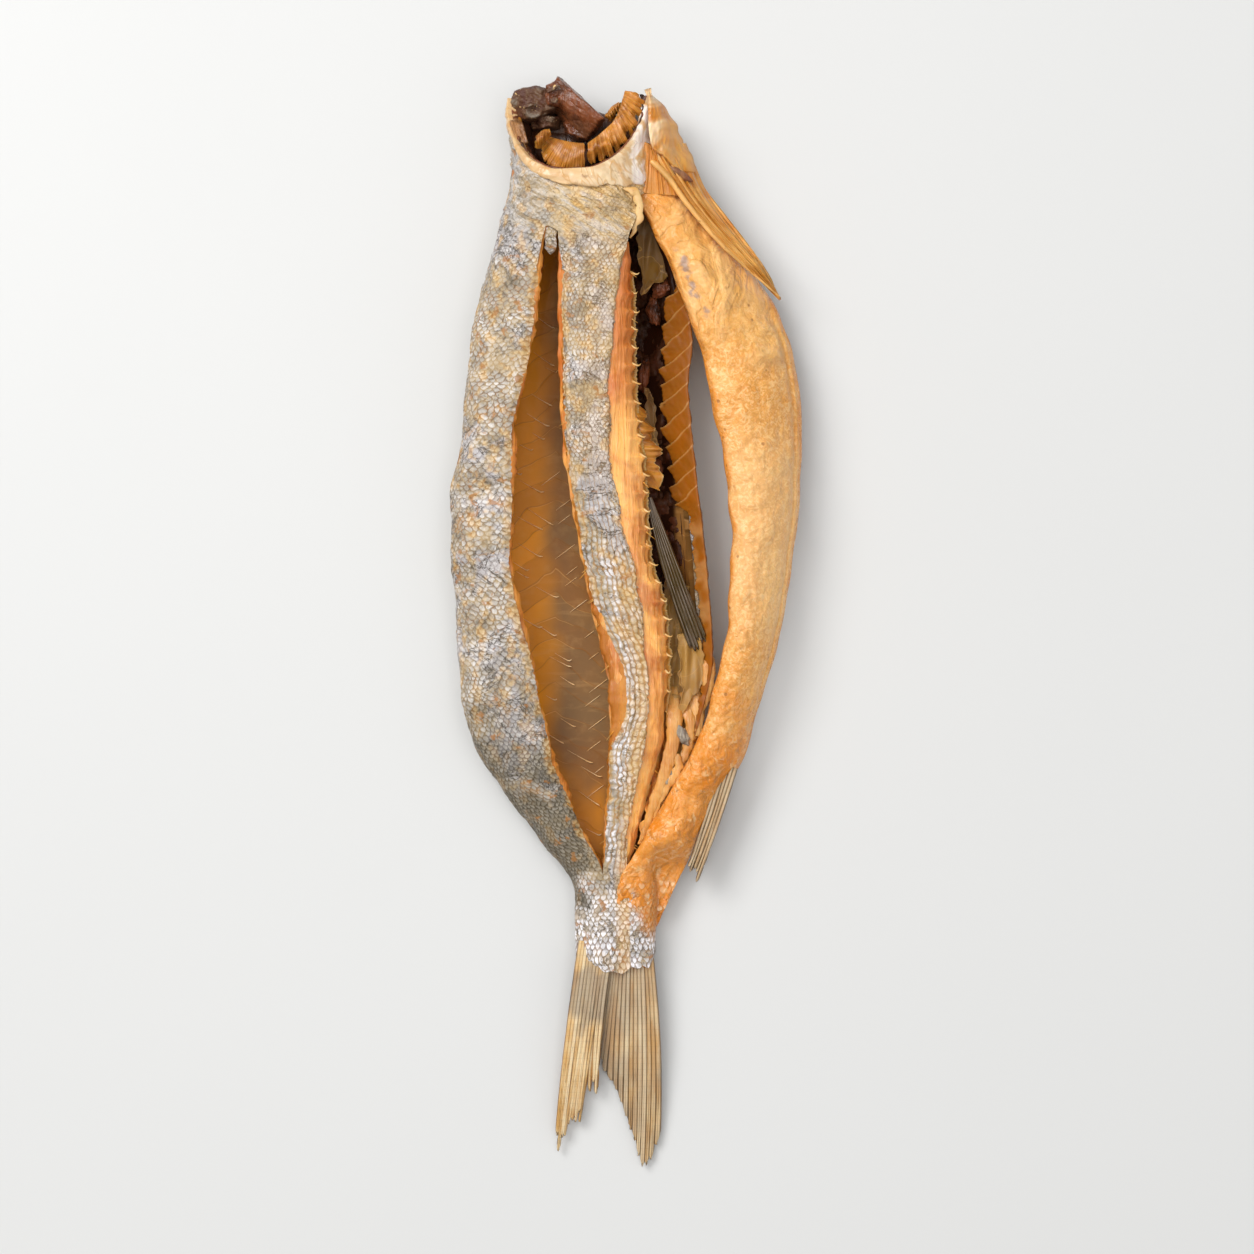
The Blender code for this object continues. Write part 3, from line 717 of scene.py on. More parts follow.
def fish_scale_rows(name):
    """Overlapping fish scales on cell coordinates: masks of each scale's pearl, groove and rise."""
    group, (cells,) = start_group(name, Cells=None)
    u, v = cells.axis(0), cells.axis(1)
    row = calc("FLOOR", v)
    f = v - row
    odd = calc("FLOORED_MODULO", row, 2.0)
    parts = []
    for place in (odd.scaled(0.5, u), u + 0.5 - odd * 0.5):
        column = calc("FLOOR", place)
        doubled = (place - column - 0.5) * 2.0
        square = doubled * doubled
        parts.append((column, square, square.scaled(-SCALE_BULGE, SCALE_BULGE) - f))
    own, upper = parts
    over = calc("GREATER_THAN", upper[2], 0.0)

    def topmost(a, b):
        """a of the row's own scale, or b of the one above where that lies over it."""
        return (b - a) * over + a

    edge = topmost(own[2] + 1.0, upper[2])
    side = topmost(own[1], upper[1])
    chance = chance_at({"Vector": combined(topmost(own[0], upper[0]), row - over)})
    # Painted shadow just below the edge of the scale that lies over this one.
    covered = (1.0 - over) * fade(upper[2] * -1.0, 0.34, 0.02)
    # Painted highlight: the pearly middle of each scale, brightest towards its free edge.
    pearl = fade(side, 0.92, 0.35) * (fade(edge, 0.04, 0.28) * fade(edge, 1.35, 0.60))
    groove = calc("MAXIMUM", covered, fade(side, 0.62, 1.0) * 0.55)
    rise = (1.0 - calc("DIVIDE", edge, 1 + SCALE_BULGE)) * fade(edge, 0.0, 0.14)
    return end_group(group, Pearl=pearl, Groove=groove, Chance=chance, Rise=rise)


def drying_stains(name):
    """Stains that drying leaves: broad patches and fine specks, from a position."""
    group, (position, size) = start_group(name, Position=None, Patch_size=120.0)
    patches = fade(grain(position, size, 4.0, 0.6, 0.6), 0.40, 0.66)
    specks = fade(grain(position, 1500.0, 2.0, 0.6), 0.62, 0.74)
    return end_group(group, Patches=patches, Specks=specks)


def flesh_fibres(name):
    """Fibres that run down the fish, from a position in metres: coarse strands and fine ones."""
    group, (position,) = start_group(name, Position=None)
    coarse = grain(stretched(position, (900, 70, 500)), 1.0, 3.0, 0.6, 0.8)
    fine = grain(stretched(position, (3200, 260, 2400)), 1.0, 2.0, 0.6, 0.5)
    return end_group(group, Strands=fade(coarse, 0.36, 0.64), Fine=fade(fine, 0.34, 0.68))


class Look:
    """A material in the making: its base colour, its relief and its shader."""

    def __init__(self, name):
        material = bpy.data.materials.new(name)
        material.use_nodes = True
        self.tree = material.node_tree
        self.position = source(self.tree, "ShaderNodeTexCoord", "Object")
        self.relief = {}

    def mark(self, name):
        return source(self.tree, "ShaderNodeAttribute", "Fac", attribute_name=name)

    def uv(self):
        return source(self.tree, "ShaderNodeUVMap")

    def grain(self, *settings, stretch=None):
        """Noise, with a scale of its own along each axis where stretch gives one."""
        if stretch:
            return grain(stretched(self.position, stretch), 1.0, *settings)
        return grain(self.position, *settings)

    def tint(self, colour, mask, strength=1.0):
        self.base = blend(mask if strength == 1 else mask * strength, self.base, colour)

    def bump(self, height, strength, distance):
        """Adds relief, distance in mm, to what is there."""
        inputs = {"Height": height, "Strength": strength, "Distance": distance * MM, **self.relief}
        self.relief = {"Normal": node("ShaderNodeBump", inputs)}

    def finish(self, roughness, specular=0.5, glow=None):
        """Feeds the shader. glow is the weight, radius and scale of the light that goes through."""
        inputs = {"Base Color": self.base, "Roughness": roughness, "Specular IOR Level": specular}
        if glow:
            inputs.update(zip(("Subsurface Weight", "Subsurface Radius", "Subsurface Scale"), glow))
        feed(self.tree.nodes["Principled BSDF"], {**inputs, **self.relief})


def material(fill):
    """Makes fill(look, ...) a function that gives the material of a name, filled in the first time."""

    def found_or_made(name=fill.__name__, *arguments):
        if name not in bpy.data.materials:
            fill(Look(name), *arguments)
        return bpy.data.materials[name]

    return found_or_made


def chain_beads(cells):
    """Masks of long beads in close columns, as on the middle strip's lower half, and of their lanes."""
    u, v = cells.axis(0), cells.axis(1)
    away = u.from_half()
    shift = chance_at({"Vector": combined(calc("FLOOR", u))})
    far = vector_calc("LENGTH", {0: combined(away, v.scaled(0.60, shift).from_half())}, "Value")
    return fade(far, 0.56, 0.24), fade(away, 0.32, 0.48) * 0.8


@material
def scaled_skin(look):
    """Silver scales with pearly middles, golden oil between them and grey, worn backs."""
    grey, gold, tan, smear, bead, chain = map(look.mark, ("grey", "gold", "tan", "smear", "bead", "chain"))
    cells = look.uv()
    loose = wobbled(wobbled(cells, look.position, 380.0, 1.3), look.position, 1500.0, 0.35)
    firm = wobbled(cells, look.position, 380.0, 0.35)
    scales = placed(fish_scale_rows, Cells=blend(calc("MAXIMUM", grey, bead), loose, firm))
    body, lane = chain_beads(firm)
    for label, value in (("Pearl", body), ("Groove", lane), ("Rise", body)):
        scales[label] = (value - scales[label]).scaled(chain, scales[label])
    chance = scales["Chance"]
    stains = placed(drying_stains, Position=look.position, Patch_size=95.0)
    broad = look.grain(75.0, 4.0, 0.65, 0.5)
    middle = look.grain(240.0, 5.0, 0.7, 0.6)
    patchy = fade(look.grain(150.0, 5.0, 0.7, 0.5), 0.38, 0.62)
    look.base = blend(fade(middle, 0.42, 0.58), "silver", "cream")
    # Painted bluish sheen in broad patches.
    look.tint("mist", fade(broad, 0.50, 0.60), 0.8)
    look.tint("oil", fade(middle, 0.44, 0.33), 0.6)
    pearl = scales["Pearl"] * (1.0 - smear * 0.5)
    # Painted highlight on the pearly middles, stronger on some scales and patches than on others.
    lit = pearl * (chance.scaled(0.50, 0.32) * patchy.scaled(0.88, 0.17))
    look.tint("pearl", lit)
    look.tint(blend(fade(broad, 0.44, 0.58), "mist", "cream"), bead, 0.55)
    look.tint("bead", bead * (scales["Pearl"] * fade(chance, 0.0, 0.5)), 0.95)
    wave = grain(stretched(stretched(look.position, (1, 1, 1), 0.5), (130, 620, 250)), 1.0, 3.0, 0.6, 1.6)
    washed = blend(fade(wave, 0.38, 0.56), "gold", "mist_warm")
    washed = blend(fade(wave, 0.56, 0.66), washed, "pearl")
    washed = blend(line_at(wave, 0.43, 0.012) * 0.7, washed, "oil_dark")
    back = fade(look.position.axis(0), -0.012, -0.017)
    washed = blend(back * 0.85, washed, blend(fade(wave, 0.40, 0.60), "silver", "pearl"))
    look.tint(washed, smear, 0.7)
    # The groove mask, under each scale's edge and along its flanks: dark oil mixed with painted shadow.
    groove = scales["Groove"] * (1.0 - smear * 0.75) * fade(middle, 0.60, 0.40).scaled(0.44, 0.32)
    look.tint(blend(fade(broad, 0.42, 0.56), "oil_dark", "scale_gap"), groove)
    look.tint("oil", lane * chain, 0.45)
    # Painted shade along thin creases; the smudges are dark patches of the skin itself.
    crease = line_at(look.grain(5.0, 0.7, 0.8, stretch=(120, 160, 120)), 0.5, 0.020) * fade(broad, 0.44, 0.56)
    smudge = fade(look.grain(300.0, 5.0, 0.72, 0.3), 0.44, 0.32) * 0.55
    look.tint("dark_skin", calc("MAXIMUM", crease * 0.85, smudge) * smear.scaled(-0.7, 1.0))
    look.tint(blend(pearl * chance.scaled(0.6, 0.4), "dark_skin", "dull_scale"), grey, 0.85)
    look.tint(blend(scales["Pearl"], "oil", "gold"), gold, 0.6)
    look.tint(blend(scales["Pearl"], "belly_oil", "belly"), tan, 0.9)
    look.tint("rust", fade(look.grain(330.0, 3.0, 0.6, 0.4), 0.60, 0.68), 0.7)
    look.tint("speck", stains["Specks"], 0.55)
    sparkle = look.grain(2600.0, 2.0, 0.7).scaled(0.5, 0.69)
    look.base = vector_calc("SCALE", {0: look.base, "Scale": sparkle})
    look.bump(scales["Rise"], 0.28, 0.14)
    look.bump(smear.scaled(wave * 2.0, middle), 0.8, 0.9)
    look.bump(look.grain(1400.0, 4.0, 0.7), 0.4, 0.14)
    look.bump(1.0 - crease, 0.5, 0.3)
    look.finish(spread(lit, 0.60, 0.46), 0.30)


@material
def flesh(look, deep, light, streak, patch_size=70.0, gloss=0.38, subsurface=0.15, sheen=0.5):
    """Dried flesh that runs from a deep colour to a light one, with fibres and stains."""
    fibres = placed(flesh_fibres, Position=look.position)
    stains = placed(drying_stains, Position=look.position, Patch_size=patch_size)
    look.base = blend(fade(look.grain(patch_size, 4.0, 0.6, 0.6), 0.36, 0.62), deep, light)
    look.tint(streak, fibres["Strands"], 0.20)
    look.tint(streak, fade(fibres["Fine"], 0.7, 1.0), 0.25)
    look.tint(deep, look.mark("deep"), 0.7)
    look.tint(deep, stains["Specks"], 0.35)
    look.bump(fibres["Strands"], 0.35, 0.25)
    look.bump(fibres["Fine"], 0.35, 0.12)
    look.finish(spread(fibres["Strands"], gloss, gloss + 0.2), sheen, (subsurface, (0.9, 0.35, 0.12), 0.0025))


@material
def mouldy_flesh(look):
    """Dark dried flesh with a grey bloom and pale flecks."""
    coarse = look.grain(260.0, 5.0, 0.7, 0.6)
    look.base = blend(fade(coarse, 0.38, 0.62), "dark_flesh", "gut_brown")
    look.tint("mould", fade(coarse, 0.52, 0.66), 0.8)
    look.tint("bone", fade(look.grain(900.0, 3.0, 0.6), 0.64, 0.72))
    look.bump(coarse, 0.6, 0.5)
    look.finish(0.6)


@material
def thin_web(look):
    """Clear amber skin, paler and yellower towards its torn tips."""
    look.base = blend(fade(look.grain(260.0), 0.38, 0.62), "comb_deep", "comb_light")
    look.tint("bone", fade(look.mark("tip"), 0.35, 1.0))
    look.bump(look.grain(700.0), 0.35, 0.25)
    look.finish(0.32, glow=(0.3, (1.0, 0.45, 0.12), 0.002))


@material
def membrane(look):
    """Olive-brown, crinkled membranes with pale creases."""
    coarse = look.grain(120.0, 2.5, 0.5, 1.0)
    look.base = blend(fade(coarse, 0.38, 0.56), "olive", "brown_wall")
    look.tint("gut_brown", fade(look.grain(110.0, 2.0), 0.52, 0.6), 0.6)
    down = look.position.axis(1)
    # The lower membranes lighter and more golden: partly their own colour, partly painted light where the
    # cavity shades them.
    look.tint("ray_gold", fade(down, 0.012, 0.0), 0.5)
    flow = look.grain(3.0, 0.6, 1.2, stretch=(330, 110, 200))
    orange = blend(fade(flow, 0.40, 0.58), "cut_deep", "cut_light")
    look.tint(orange, fade(down, -0.014, -0.024) * fade(coarse, 0.36, 0.46))
    look.tint("mould", look.mark("tip"), 0.3)
    look.tint("ray_gold", line_at(coarse, 0.52, 0.012), 0.65)
    look.bump(coarse, 0.35, 0.6)
    look.finish(0.42, 0.22, (0.15, (0.9, 0.5, 0.15), 0.002))


@material
def fan_skin(look):
    """Golden, folded fin skin: dark in its grooves, pale on its ridges, with a bloom near the collar."""
    phase = look.uv().axis(0).from_half()
    wide = look.grain(120.0, 3.0, 0.6, 0.6)
    hair = look.grain(3.0, 0.6, stretch=(1500, 330, 900))
    look.base = blend(fade(wide, 0.36, 0.62), "fin_orange", "fin_gold")
    # Painted highlight on the ridges of the folds, and painted shade in their grooves.
    look.tint("belly_light", fade(phase, 0.20, 0.0), 0.30)
    look.tint("oil_dark", fade(phase, 0.42, 0.5), 0.35)
    look.tint("ray_gold", fade(hair, 0.48, 0.62), 0.2)
    bloom = fade(look.position.axis(1), 0.086, 0.092) * fade(look.position.axis(0), 0.0080, 0.0050)
    look.tint("mist_warm", bloom * (fade(wide, 0.40, 0.54) * 0.75))
    look.bump(fade(phase, 0.5, 0.3), 0.3, 0.2)
    look.bump(hair, 0.2, 0.2)
    look.finish(0.33, glow=(0.2, (1.0, 0.45, 0.15), 0.003))


@material
def dark_fin(look):
    """Olive-grey fin with fine pale rays."""
    phase = look.uv().axis(0).from_half()
    look.base = blend(fade(look.grain(160.0), 0.38, 0.62), "olive_dark", "web_grey")
    look.tint("ray_grey", fade(phase, 0.10, 0.03), 0.5)
    look.bump(fade(phase, 0.4, 0.0), 0.5, 0.3)
    look.finish(0.32)


@material
def hollow_wall(look):
    """The far wall's inner face: amber at the back, brown towards the belly, dark in the cavity."""
    amber, shade, dark = map(look.mark, ("amber", "shade", "dark"))
    across, down = look.uv().axis(0), look.uv().axis(1)
    wobble = (look.grain(90.0, 2.0) - 0.5) * 7.0
    tile = calc("DIVIDE", abs(across).scaled(0.62, down) + wobble, 4.6)
    phase = calc("FRACT", tile)
    seam = line_at(phase, 0.5, 0.03)
    slab = chance_at({"W": calc("FLOOR", tile + 0.5)}, noise_dimensions="1D")
    broken = fade(look.grain(170.0, 2.0), 0.46, 0.60)
    broad = look.grain(85.0, 4.0, 0.55, 0.6)
    fine = look.grain(420.0, 3.0, 0.6)
    slant = stretched(stretched(look.position, (620, 620, 200)), (0.16, 1.0, 1.0), 0.6)
    look.base = blend(amber, "brown_wall", "amber")
    look.tint("pin", fade(grain(slant, 1.0, 3.0, 0.6, 0.4), 0.56, 0.70), 0.12)
    # Painted glow of light through the clear amber flesh, in broad patches.
    look.tint("honey", fade(broad, 0.42, 0.66) * amber.scaled(0.45, 0.05))
    look.tint("amber_shade", fade(broad, 0.45, 0.33), 0.18)
    look.tint("amber_shade", slab, 0.42)
    # Painted shadow line beside each seam.
    look.tint("amber_shade", line_at(phase, 0.54, 0.04), 0.45)
    look.tint("pin", seam * broken, 0.36)
    look.tint("pin", fade(fine, 0.5, 0.7), 0.07)
    look.tint("amber_shade", shade, 0.6)
    look.tint("blood", dark)
    look.bump(broad, 0.35, 0.8)
    look.bump(seam, 0.25, 0.15)
    look.bump(fine, 0.15, 0.15)
    look.finish(0.34, 0.13)


@material
def band_flesh(look):
    """Clear amber muscle, dark at the foot of each segment, with the ribs' pale lines."""
    broad = look.grain(150.0, 3.0, 0.55, 0.5)
    look.base = blend(fade(broad, 0.36, 0.64), "band", "comb_deep")
    # Painted shade at the foot of each segment and towards the inner edge.
    look.tint("amber_shade", look.mark("low"), 0.85)
    look.tint("bone_warm", look.mark("line"), 0.40)
    look.bump(broad, 0.3, 0.4)
    look.finish(0.36, 0.22, (0.2, (1.0, 0.4, 0.1), 0.002))


@material
def belly_skin(look):
    """Smooth tan skin with pores, contour lines towards the collar and orange oil towards the tail."""
    oily, wavy, vein, merge = map(look.mark, ("oily", "wavy", "vein", "merge"))
    broad = look.grain(62.0, 4.0, 0.62, 0.6)
    field = look.grain(2.5, 0.5, 1.6, stretch=(105, 80, 90))
    curl = fade((field * 5.5).from_half(), 0.24, 0.02)
    worms = look.grain(950.0, 3.0, 0.6, 1.6)
    dots = node("ShaderNodeTexVoronoi", {"Vector": look.position, "Scale": 330.0}, "Distance")
    pore = fade(dots, 0.15, 0.07) * fade(look.grain(190.0), 0.52, 0.6)
    look.base = blend(fade(broad, 0.36, 0.64), "belly", "belly_light")
    plain = wavy.scaled(-0.30, 0.45)
    look.tint("belly_pale", fade(worms, 0.50, 0.60) * plain)
    look.tint("belly_tan", fade(worms, 0.48, 0.38) * plain)
    down = look.position.axis(1)
    look.tint("belly_pale", fade(down, 0.042, 0.028) * fade(down, -0.008, 0.008), 0.30)
    look.tint("belly_pale", wavy * (fade(field, 0.40, 0.62) * 0.25))
    look.tint("oil", wavy * (curl * 0.38))
    look.tint("belly_oil", oily * fade(broad, 0.6, 0.4).scaled(0.30, 0.66))
    mottle = look.grain(4.0, 0.62, 1.3, stretch=(330, 220, 300))
    look.tint("rust", oily * (fade(mottle, 0.46, 0.36) * 0.52))
    look.tint("belly", oily * (fade(mottle, 0.52, 0.62) * 0.48))
    look.tint("vein", vein * fade(look.grain(420.0), 0.44, 0.58))
    # Painted highlights: bright specks over the oily skin.
    look.tint("belly_pale", oily * fade(look.grain(420.0, 4.0, 0.65, 0.8), 0.54, 0.66), 0.50)
    look.tint("pore", pore, 0.75)
    cells = wobbled(stretched(look.uv(), (0.82, -0.86, 1.0)), look.position, 380.0, 1.5)
    scales = placed(fish_scale_rows, Cells=cells)
    scaly = blend(scales["Pearl"] * fade(scales["Chance"], 0.2, 0.9), "belly_oil", "mist_warm")
    look.tint(blend(scales["Groove"] * 0.45, scaly, "oil_dark"), merge, 0.75)
    look.bump(wavy * (field - curl * 0.03), 0.8, 2.6)
    look.bump(scales["Rise"] * merge, 0.6, 0.25)
    look.bump(worms, 0.4, 0.2)
    look.bump(mottle * oily, 0.6, 1.1)
    look.bump(look.grain(260.0, 3.0, 0.6, 0.8), 0.7, 0.8)
    look.bump(1.0 - pore, 0.4, 0.2)
    rough = spread(worms, 0.20, 0.46) * oily.scaled(-0.35, 1.0)
    look.finish(rough, 0.34, (0.12, (1.0, 0.45, 0.2), 0.003))


@material
def fin_rays(look):
    """Pale horn rays over a darker web. The UV map counts rays across and millimetres down."""
    side, down = look.uv().axis(0).from_half(), look.uv().axis(1)
    web = look.mark("web")
    ridge = fade(side, 0.46, 0.20)
    branch = fade(down, -84.0, -92.0) * (1.0 - fade(abs(side - 0.2), 0.16, 0.05))
    joint = fade((down * 0.9).from_half(), 0.10, 0.0)
    cloud = look.grain(3.0, 0.6, stretch=(500, 110, 400))
    pale = blend(fade(cloud, 0.36, 0.62), "ray", "ray_gold")
    pale = blend(look.mark("tone") * 0.55, pale, "ray_pale")
    pale = blend(web * 0.62, pale, "ray_grey")
    between = blend(web, "web_gold", "web_grey")
    look.base = blend(ridge, between, pale)
    look.tint(between, branch, 0.4)
    look.tint("web_grey", joint * (ridge * 0.15))
    look.bump(ridge + branch * -0.35, 0.6, 0.3)
    look.bump(cloud, 0.25, 0.2)
    look.finish(0.38, glow=(0.12, (0.8, 0.5, 0.25), 0.002))


@material
def bone(look, pale, warm, oiliness=0.5):
    """Horn and bone, pale to warm in soft patches."""
    stains = placed(drying_stains, Position=look.position, Patch_size=150.0)
    broad = look.grain(170.0, 3.0, 0.6, 0.8)
    look.base = blend(fade(broad, 0.36, 0.64), pale, warm)
    look.tint("oil", stains["Patches"], oiliness)
    look.tint("oil_dark", stains["Specks"], 0.5)
    look.bump(broad, 0.4, 0.35)
    look.bump(look.grain(1400.0), 0.25, 0.12)
    look.finish(0.36, glow=(0.1, (0.8, 0.5, 0.3), 0.002))


@material
def rim_bone(look):
    """White bone with grey pearl, golden streaks that run round the rim and a few brown stains."""
    broad = look.grain(120.0, 3.0, 0.6, 1.4)
    streak = line_at(calc("FRACT", look.grain(90.0, 2.0, 0.5, 1.5) * 6.0), 0.5, 0.16)
    across = look.position.axis(0)
    look.base = blend(fade(broad, 0.40, 0.60), "bone_white", "mist_white")
    look.tint("bone_warm", streak, 0.7)
    look.tint("oil", fade(broad, 0.46, 0.62), 0.65)
    look.tint("bone_warm", fade(across, -0.004, -0.012), 0.5)
    # Whiter patches on the belly side: partly white bone, partly a painted highlight.
    look.tint("bead", fade(across, -0.003, 0.003) * fade(broad, 0.54, 0.44), 0.62)
    look.tint("oil_dark", fade(look.grain(330.0, 4.0), 0.60, 0.70), 0.6)
    look.bump(broad, 0.6, 0.7)
    look.bump(streak, 0.3, 0.2)
    look.finish(0.3, glow=(0.1, (0.8, 0.5, 0.3), 0.002))


@material
def gill_horn(look):
    """Translucent amber horn with a stripe for each tooth."""
    stripe = look.uv().axis(0).from_half()
    look.base = blend(fade(look.grain(230.0, 3.0, 0.6, 0.6), 0.36, 0.64), "comb_deep", "comb_light")
    # Painted shade in the gaps between the teeth.
    look.tint("oil_dark", fade(stripe, 0.40, 0.5), 0.2)
    look.tint("fin_gold", fade(stripe, 0.30, 0.0), 0.30)
    look.bump(fade(stripe, 0.5, 0.3), 0.25, 0.2)
    look.bump(look.grain(1600.0), 0.25, 0.1)
    look.finish(0.38, glow=(0.2, (1.0, 0.45, 0.12), 0.002))


@material
def pale_floor(look):
    """Plain white paper."""
    look.base = blend(look.grain(6.0, 2.0), (0.63, 0.63, 0.62, 1), (0.66, 0.66, 0.65, 1))
    look.finish(0.8)


# ---- Pieces ----------------------------------------------------------------------------------
def near_layout(retreat, shares):
    """For a sheet over the near side: each column's strip, its place across it, and the angles of row u.

    shares are the columns of the back strip, of the middle one and of the side.
    """
    back, middle, side = shares
    column = np.repeat((0, 1, 2), (back + 1, middle + 1, side))
    t = [np.linspace(0, 1, back + 1), np.linspace(0, 1, middle + 1), np.linspace(0, 1, side + 1)[1:]]
    t = np.concatenate(t)

    def angles(u):
        y = row_y(u)
        gone = retreat(y) * opened(y)[..., None]
        bounds = (
            -0.55 + 0 * y,
            angle_at(y, along(y, SLIT_LEFT) - gone[..., 0]),
            angle_at(y, slit_right(y) + gone[..., 1]),
            angle_at(y, along(y, MIDDLE_EDGE) - gone[..., 2]),
            math.pi + 0.5 + 0 * y,
        )
        first = np.where(column == 0, bounds[0], np.where(column == 1, bounds[2], bounds[3]))
        last = np.where(column == 0, bounds[1], np.where(column == 1, bounds[3], bounds[4]))
        return mix(first, last, t)

    return column, t, angles


def tail_drop(angle):
    """How far the tail root's scales reach down over the rays: least at the sides, most in the middle."""
    side = np.abs(np.cos(angle))
    return 3.4 * side**4 - 1.2 + 0.5 * np.sin(7 * angle) + 0.3 * np.sin(17 * angle + 1)


def near_sheet(name, rows, shares, retreat, depth, relief, marks):
    """A sheet over the collar, the back strip, the middle strip and the tail root, with the slits left open.

    depth(y, strip, t, edge, base) is how far it lies under the tube's surface, edge the distance to its
    nearest cut, and relief(cells, strip, y, edge) what the scales add.
    """
    strip, t, angles = near_layout(retreat, shares)
    holder = {}

    def place(u, v):
        angle = angles(u)
        nominal = row_y(u)
        y = station(nominal, angle) + tail_drop(angle) * smooth(-54, TAIL_ROOT_Y, nominal)
        base = tube(y, angle)
        length = arc_lengths(base)
        start = length[:, shares[0]][:, None]
        after = length[:, shares[0] + 1][:, None]
        across = np.where(strip == 0, length - start, length - after)
        widths = length[:, -1 - shares[2]][:, None] - after
        shut, shut_right = [SHUT_EDGE * (1 - opened(nominal, top)) for top in (SLIT_TOP_Y, RIGHT_CUT_Y)]
        edge = np.where(strip == 0, shut - across, np.minimum(across + shut, widths - across + shut_right))
        edge = np.maximum(np.where(strip == 2, across - widths + shut_right, edge), 0)
        width = np.where(strip == 0, along(nominal, BACK_WIDTH), along(nominal, MIDDLE_WIDTH))
        cells = scale_cells(across, y, width)
        holder.update(cells=cells, edge=edge, strip=strip + 0 * u)
        return tube(y, angle, depth(nominal, strip, t, edge, base) - relief(cells, strip, y, edge))

    marks = {key: (lambda points, u, v, m=m: m(points, holder)) for key, m in marks.items()}
    columns = sum(shares) + 1
    piece = grid_piece(name, rows, columns, place, lambda *_: holder["cells"], marks)
    face = np.arange(rows * columns)
    nominal = row_y(1 - (face // columns + 0.5) / rows)
    column = face % columns
    slit = (column == shares[0]) & (nominal < SLIT_TOP_Y)
    side = (column > shares[0] + shares[1]) & (nominal < RIGHT_CUT_Y)
    return weld(remove_faces(piece, (slit | side) & (nominal > SLIT_END_Y)))


def torn(y):
    """How far the skin stands back from each of the three cut edges, in mm, torn unevenly."""
    edges = []
    for k in range(3):
        slow = np.maximum(line_noise(y, 16, 40 + k, 2), -0.2) + 0.2
        teeth = np.abs(line_noise(y, 3.4, 50 + k, 3))
        edges.append(0.45 * (0.7 * slow**1.5 + 0.8 * teeth))
    edges[1] = edges[1] + 2.4 * smooth(7, -8, y) * smooth(-25, -14, y)
    return np.stack(edges, -1)


def strip_sag(y, strip, t):
    """How far the two strips sag below the tube towards their cut edges, in mm."""
    back = 0.9 * smooth(0.7, 1.0, t) + 0.6 * unevenness(y, t) * smooth(0.15, 0.4, t)
    middle = 0.8 * smooth(0.3, 0.0, t) + 0.5 * smooth(0.75, 1.0, t) + 0.5 * unevenness(y + 9, t)
    return opened(y) * np.where(strip == 0, back, np.where(strip == 1, middle, 0))


def wrinkles(base, size):
    """Crumpled skin: broad dents, sharp-crested folds that run down the fish, and a fine grain."""
    lengthwise = base * np.array((1.0, 0.35, 1.0))
    folds = 1 - 2.2 * np.abs(ripple(lengthwise, 7.5, 4, 3))
    pits = np.minimum(ripple(base, 3.6, 8, 2) + 0.35, 0)
    return size * (0.9 * ripple(base, 15, 3, 3) + 0.45 * np.maximum(folds, -0.5) + 0.7 * pits)


def build_near_skin():
    """Scaled skin of the collar, the strips and the tail root."""

    def depth(y, strip, t, edge, base):
        hem = 0.55 * smooth(0.8, 0.0, edge) - 0.3 * smooth(2.4, 0.9, edge) * smooth(0.2, 0.9, edge)
        collar = 0.35 * np.abs(np.sin(0.5 * base[..., 1] * 2.1 + 1.6 * ripple(base, 9, 17, 2)))
        return strip_sag(y, strip, t) + hem + collar * smooth(73, 78, y) - wrinkles(base, sizes().crumple)

    def relief(cells, strip, y, edge):
        return sizes().scale_relief * scale_rise(cells) * smooth(0.1, 0.7, edge)

    def grey(p, h):
        lower = smooth(-2, -34, p.y) * smooth(-3, -9, p.x) * smooth(-58, -50, p.y)
        spots = 0.4 * smooth(0.3, 0.9, ripple(p, 6, 19, 3))
        return unit(lower * smooth(-1.1, -0.3, ripple(p, 12, 9, 2)) + spots)

    def gold(p, h):
        rim = smooth(1.5, 0.2, h["edge"]) * smooth(-0.3, 0.3, ripple(p, 5, 27, 2))
        collar = 0.55 * smooth(76, 84, p.y) * smooth(-14, -4, p.x)
        y = np.clip(p.y, -60, 90)
        share = (p.x - slit_right(y)) / (along(y, MIDDLE_EDGE) - slit_right(y))
        collar = collar + 0.9 * smooth(24, -8, y) * smooth(0.30, 0.75, share) * (h["strip"] == 1)
        collar = collar + 0.40 * smooth(22, 34, y) * smooth(0.1, 0.6, share) * (h["strip"] == 1)
        spots = 0.8 * smooth(0.2, 0.7, ripple(p, 4.5, 29, 3)) * (1 - 0.7 * smooth(-2, -30, p.y))
        return unit(rim + collar + spots)

    def tan(p, h):
        merge = smooth(-61.5, -56, p.y) * smooth(-44, -48, p.y)
        return merge * smooth(-0.5, 2.5, p.x + 0.35 * (p.y + 52) + 1.2 * ripple(p, 5, 39, 3))

    def smear(p, h):
        share = 0.75 * smooth(-26, -20, p.x) + 0.25 * smooth(-17, -8, p.x + 2 * ripple(p, 7, 48, 2))
        return smooth(70, 80, p.y + 3 * ripple(p, 9, 47, 2)) * share

    def bead(p, h):
        root = smooth(-46, -56, p.y + 2.5 * ripple(p, 6, 57, 2))
        root = root * smooth(-0.6, 0.4, ripple(p, 7, 58, 3) + 0.5)
        row = 0.8 * smooth(26, 4, p.y + 5 * ripple(p, 9, 67, 2)) * (h["strip"] == 1)
        flecks = smooth(-0.5, 0.3, ripple(p * np.array((1, 0.25, 1)), 3, 68, 2))
        return unit(np.maximum(root, row * flecks))

    def chain(p, h):
        return smooth(34, 20, p.y + 4 * ripple(p, 7, 69, 2)) * smooth(-50, -44, p.y) * (h["strip"] == 1)

    marks = {"grey": grey, "gold": gold, "tan": tan, "smear": smear, "bead": bead, "chain": chain}
    finish_piece(near_sheet("near_skin", 480, (92, 42, 40), torn, depth, relief, marks), scaled_skin())


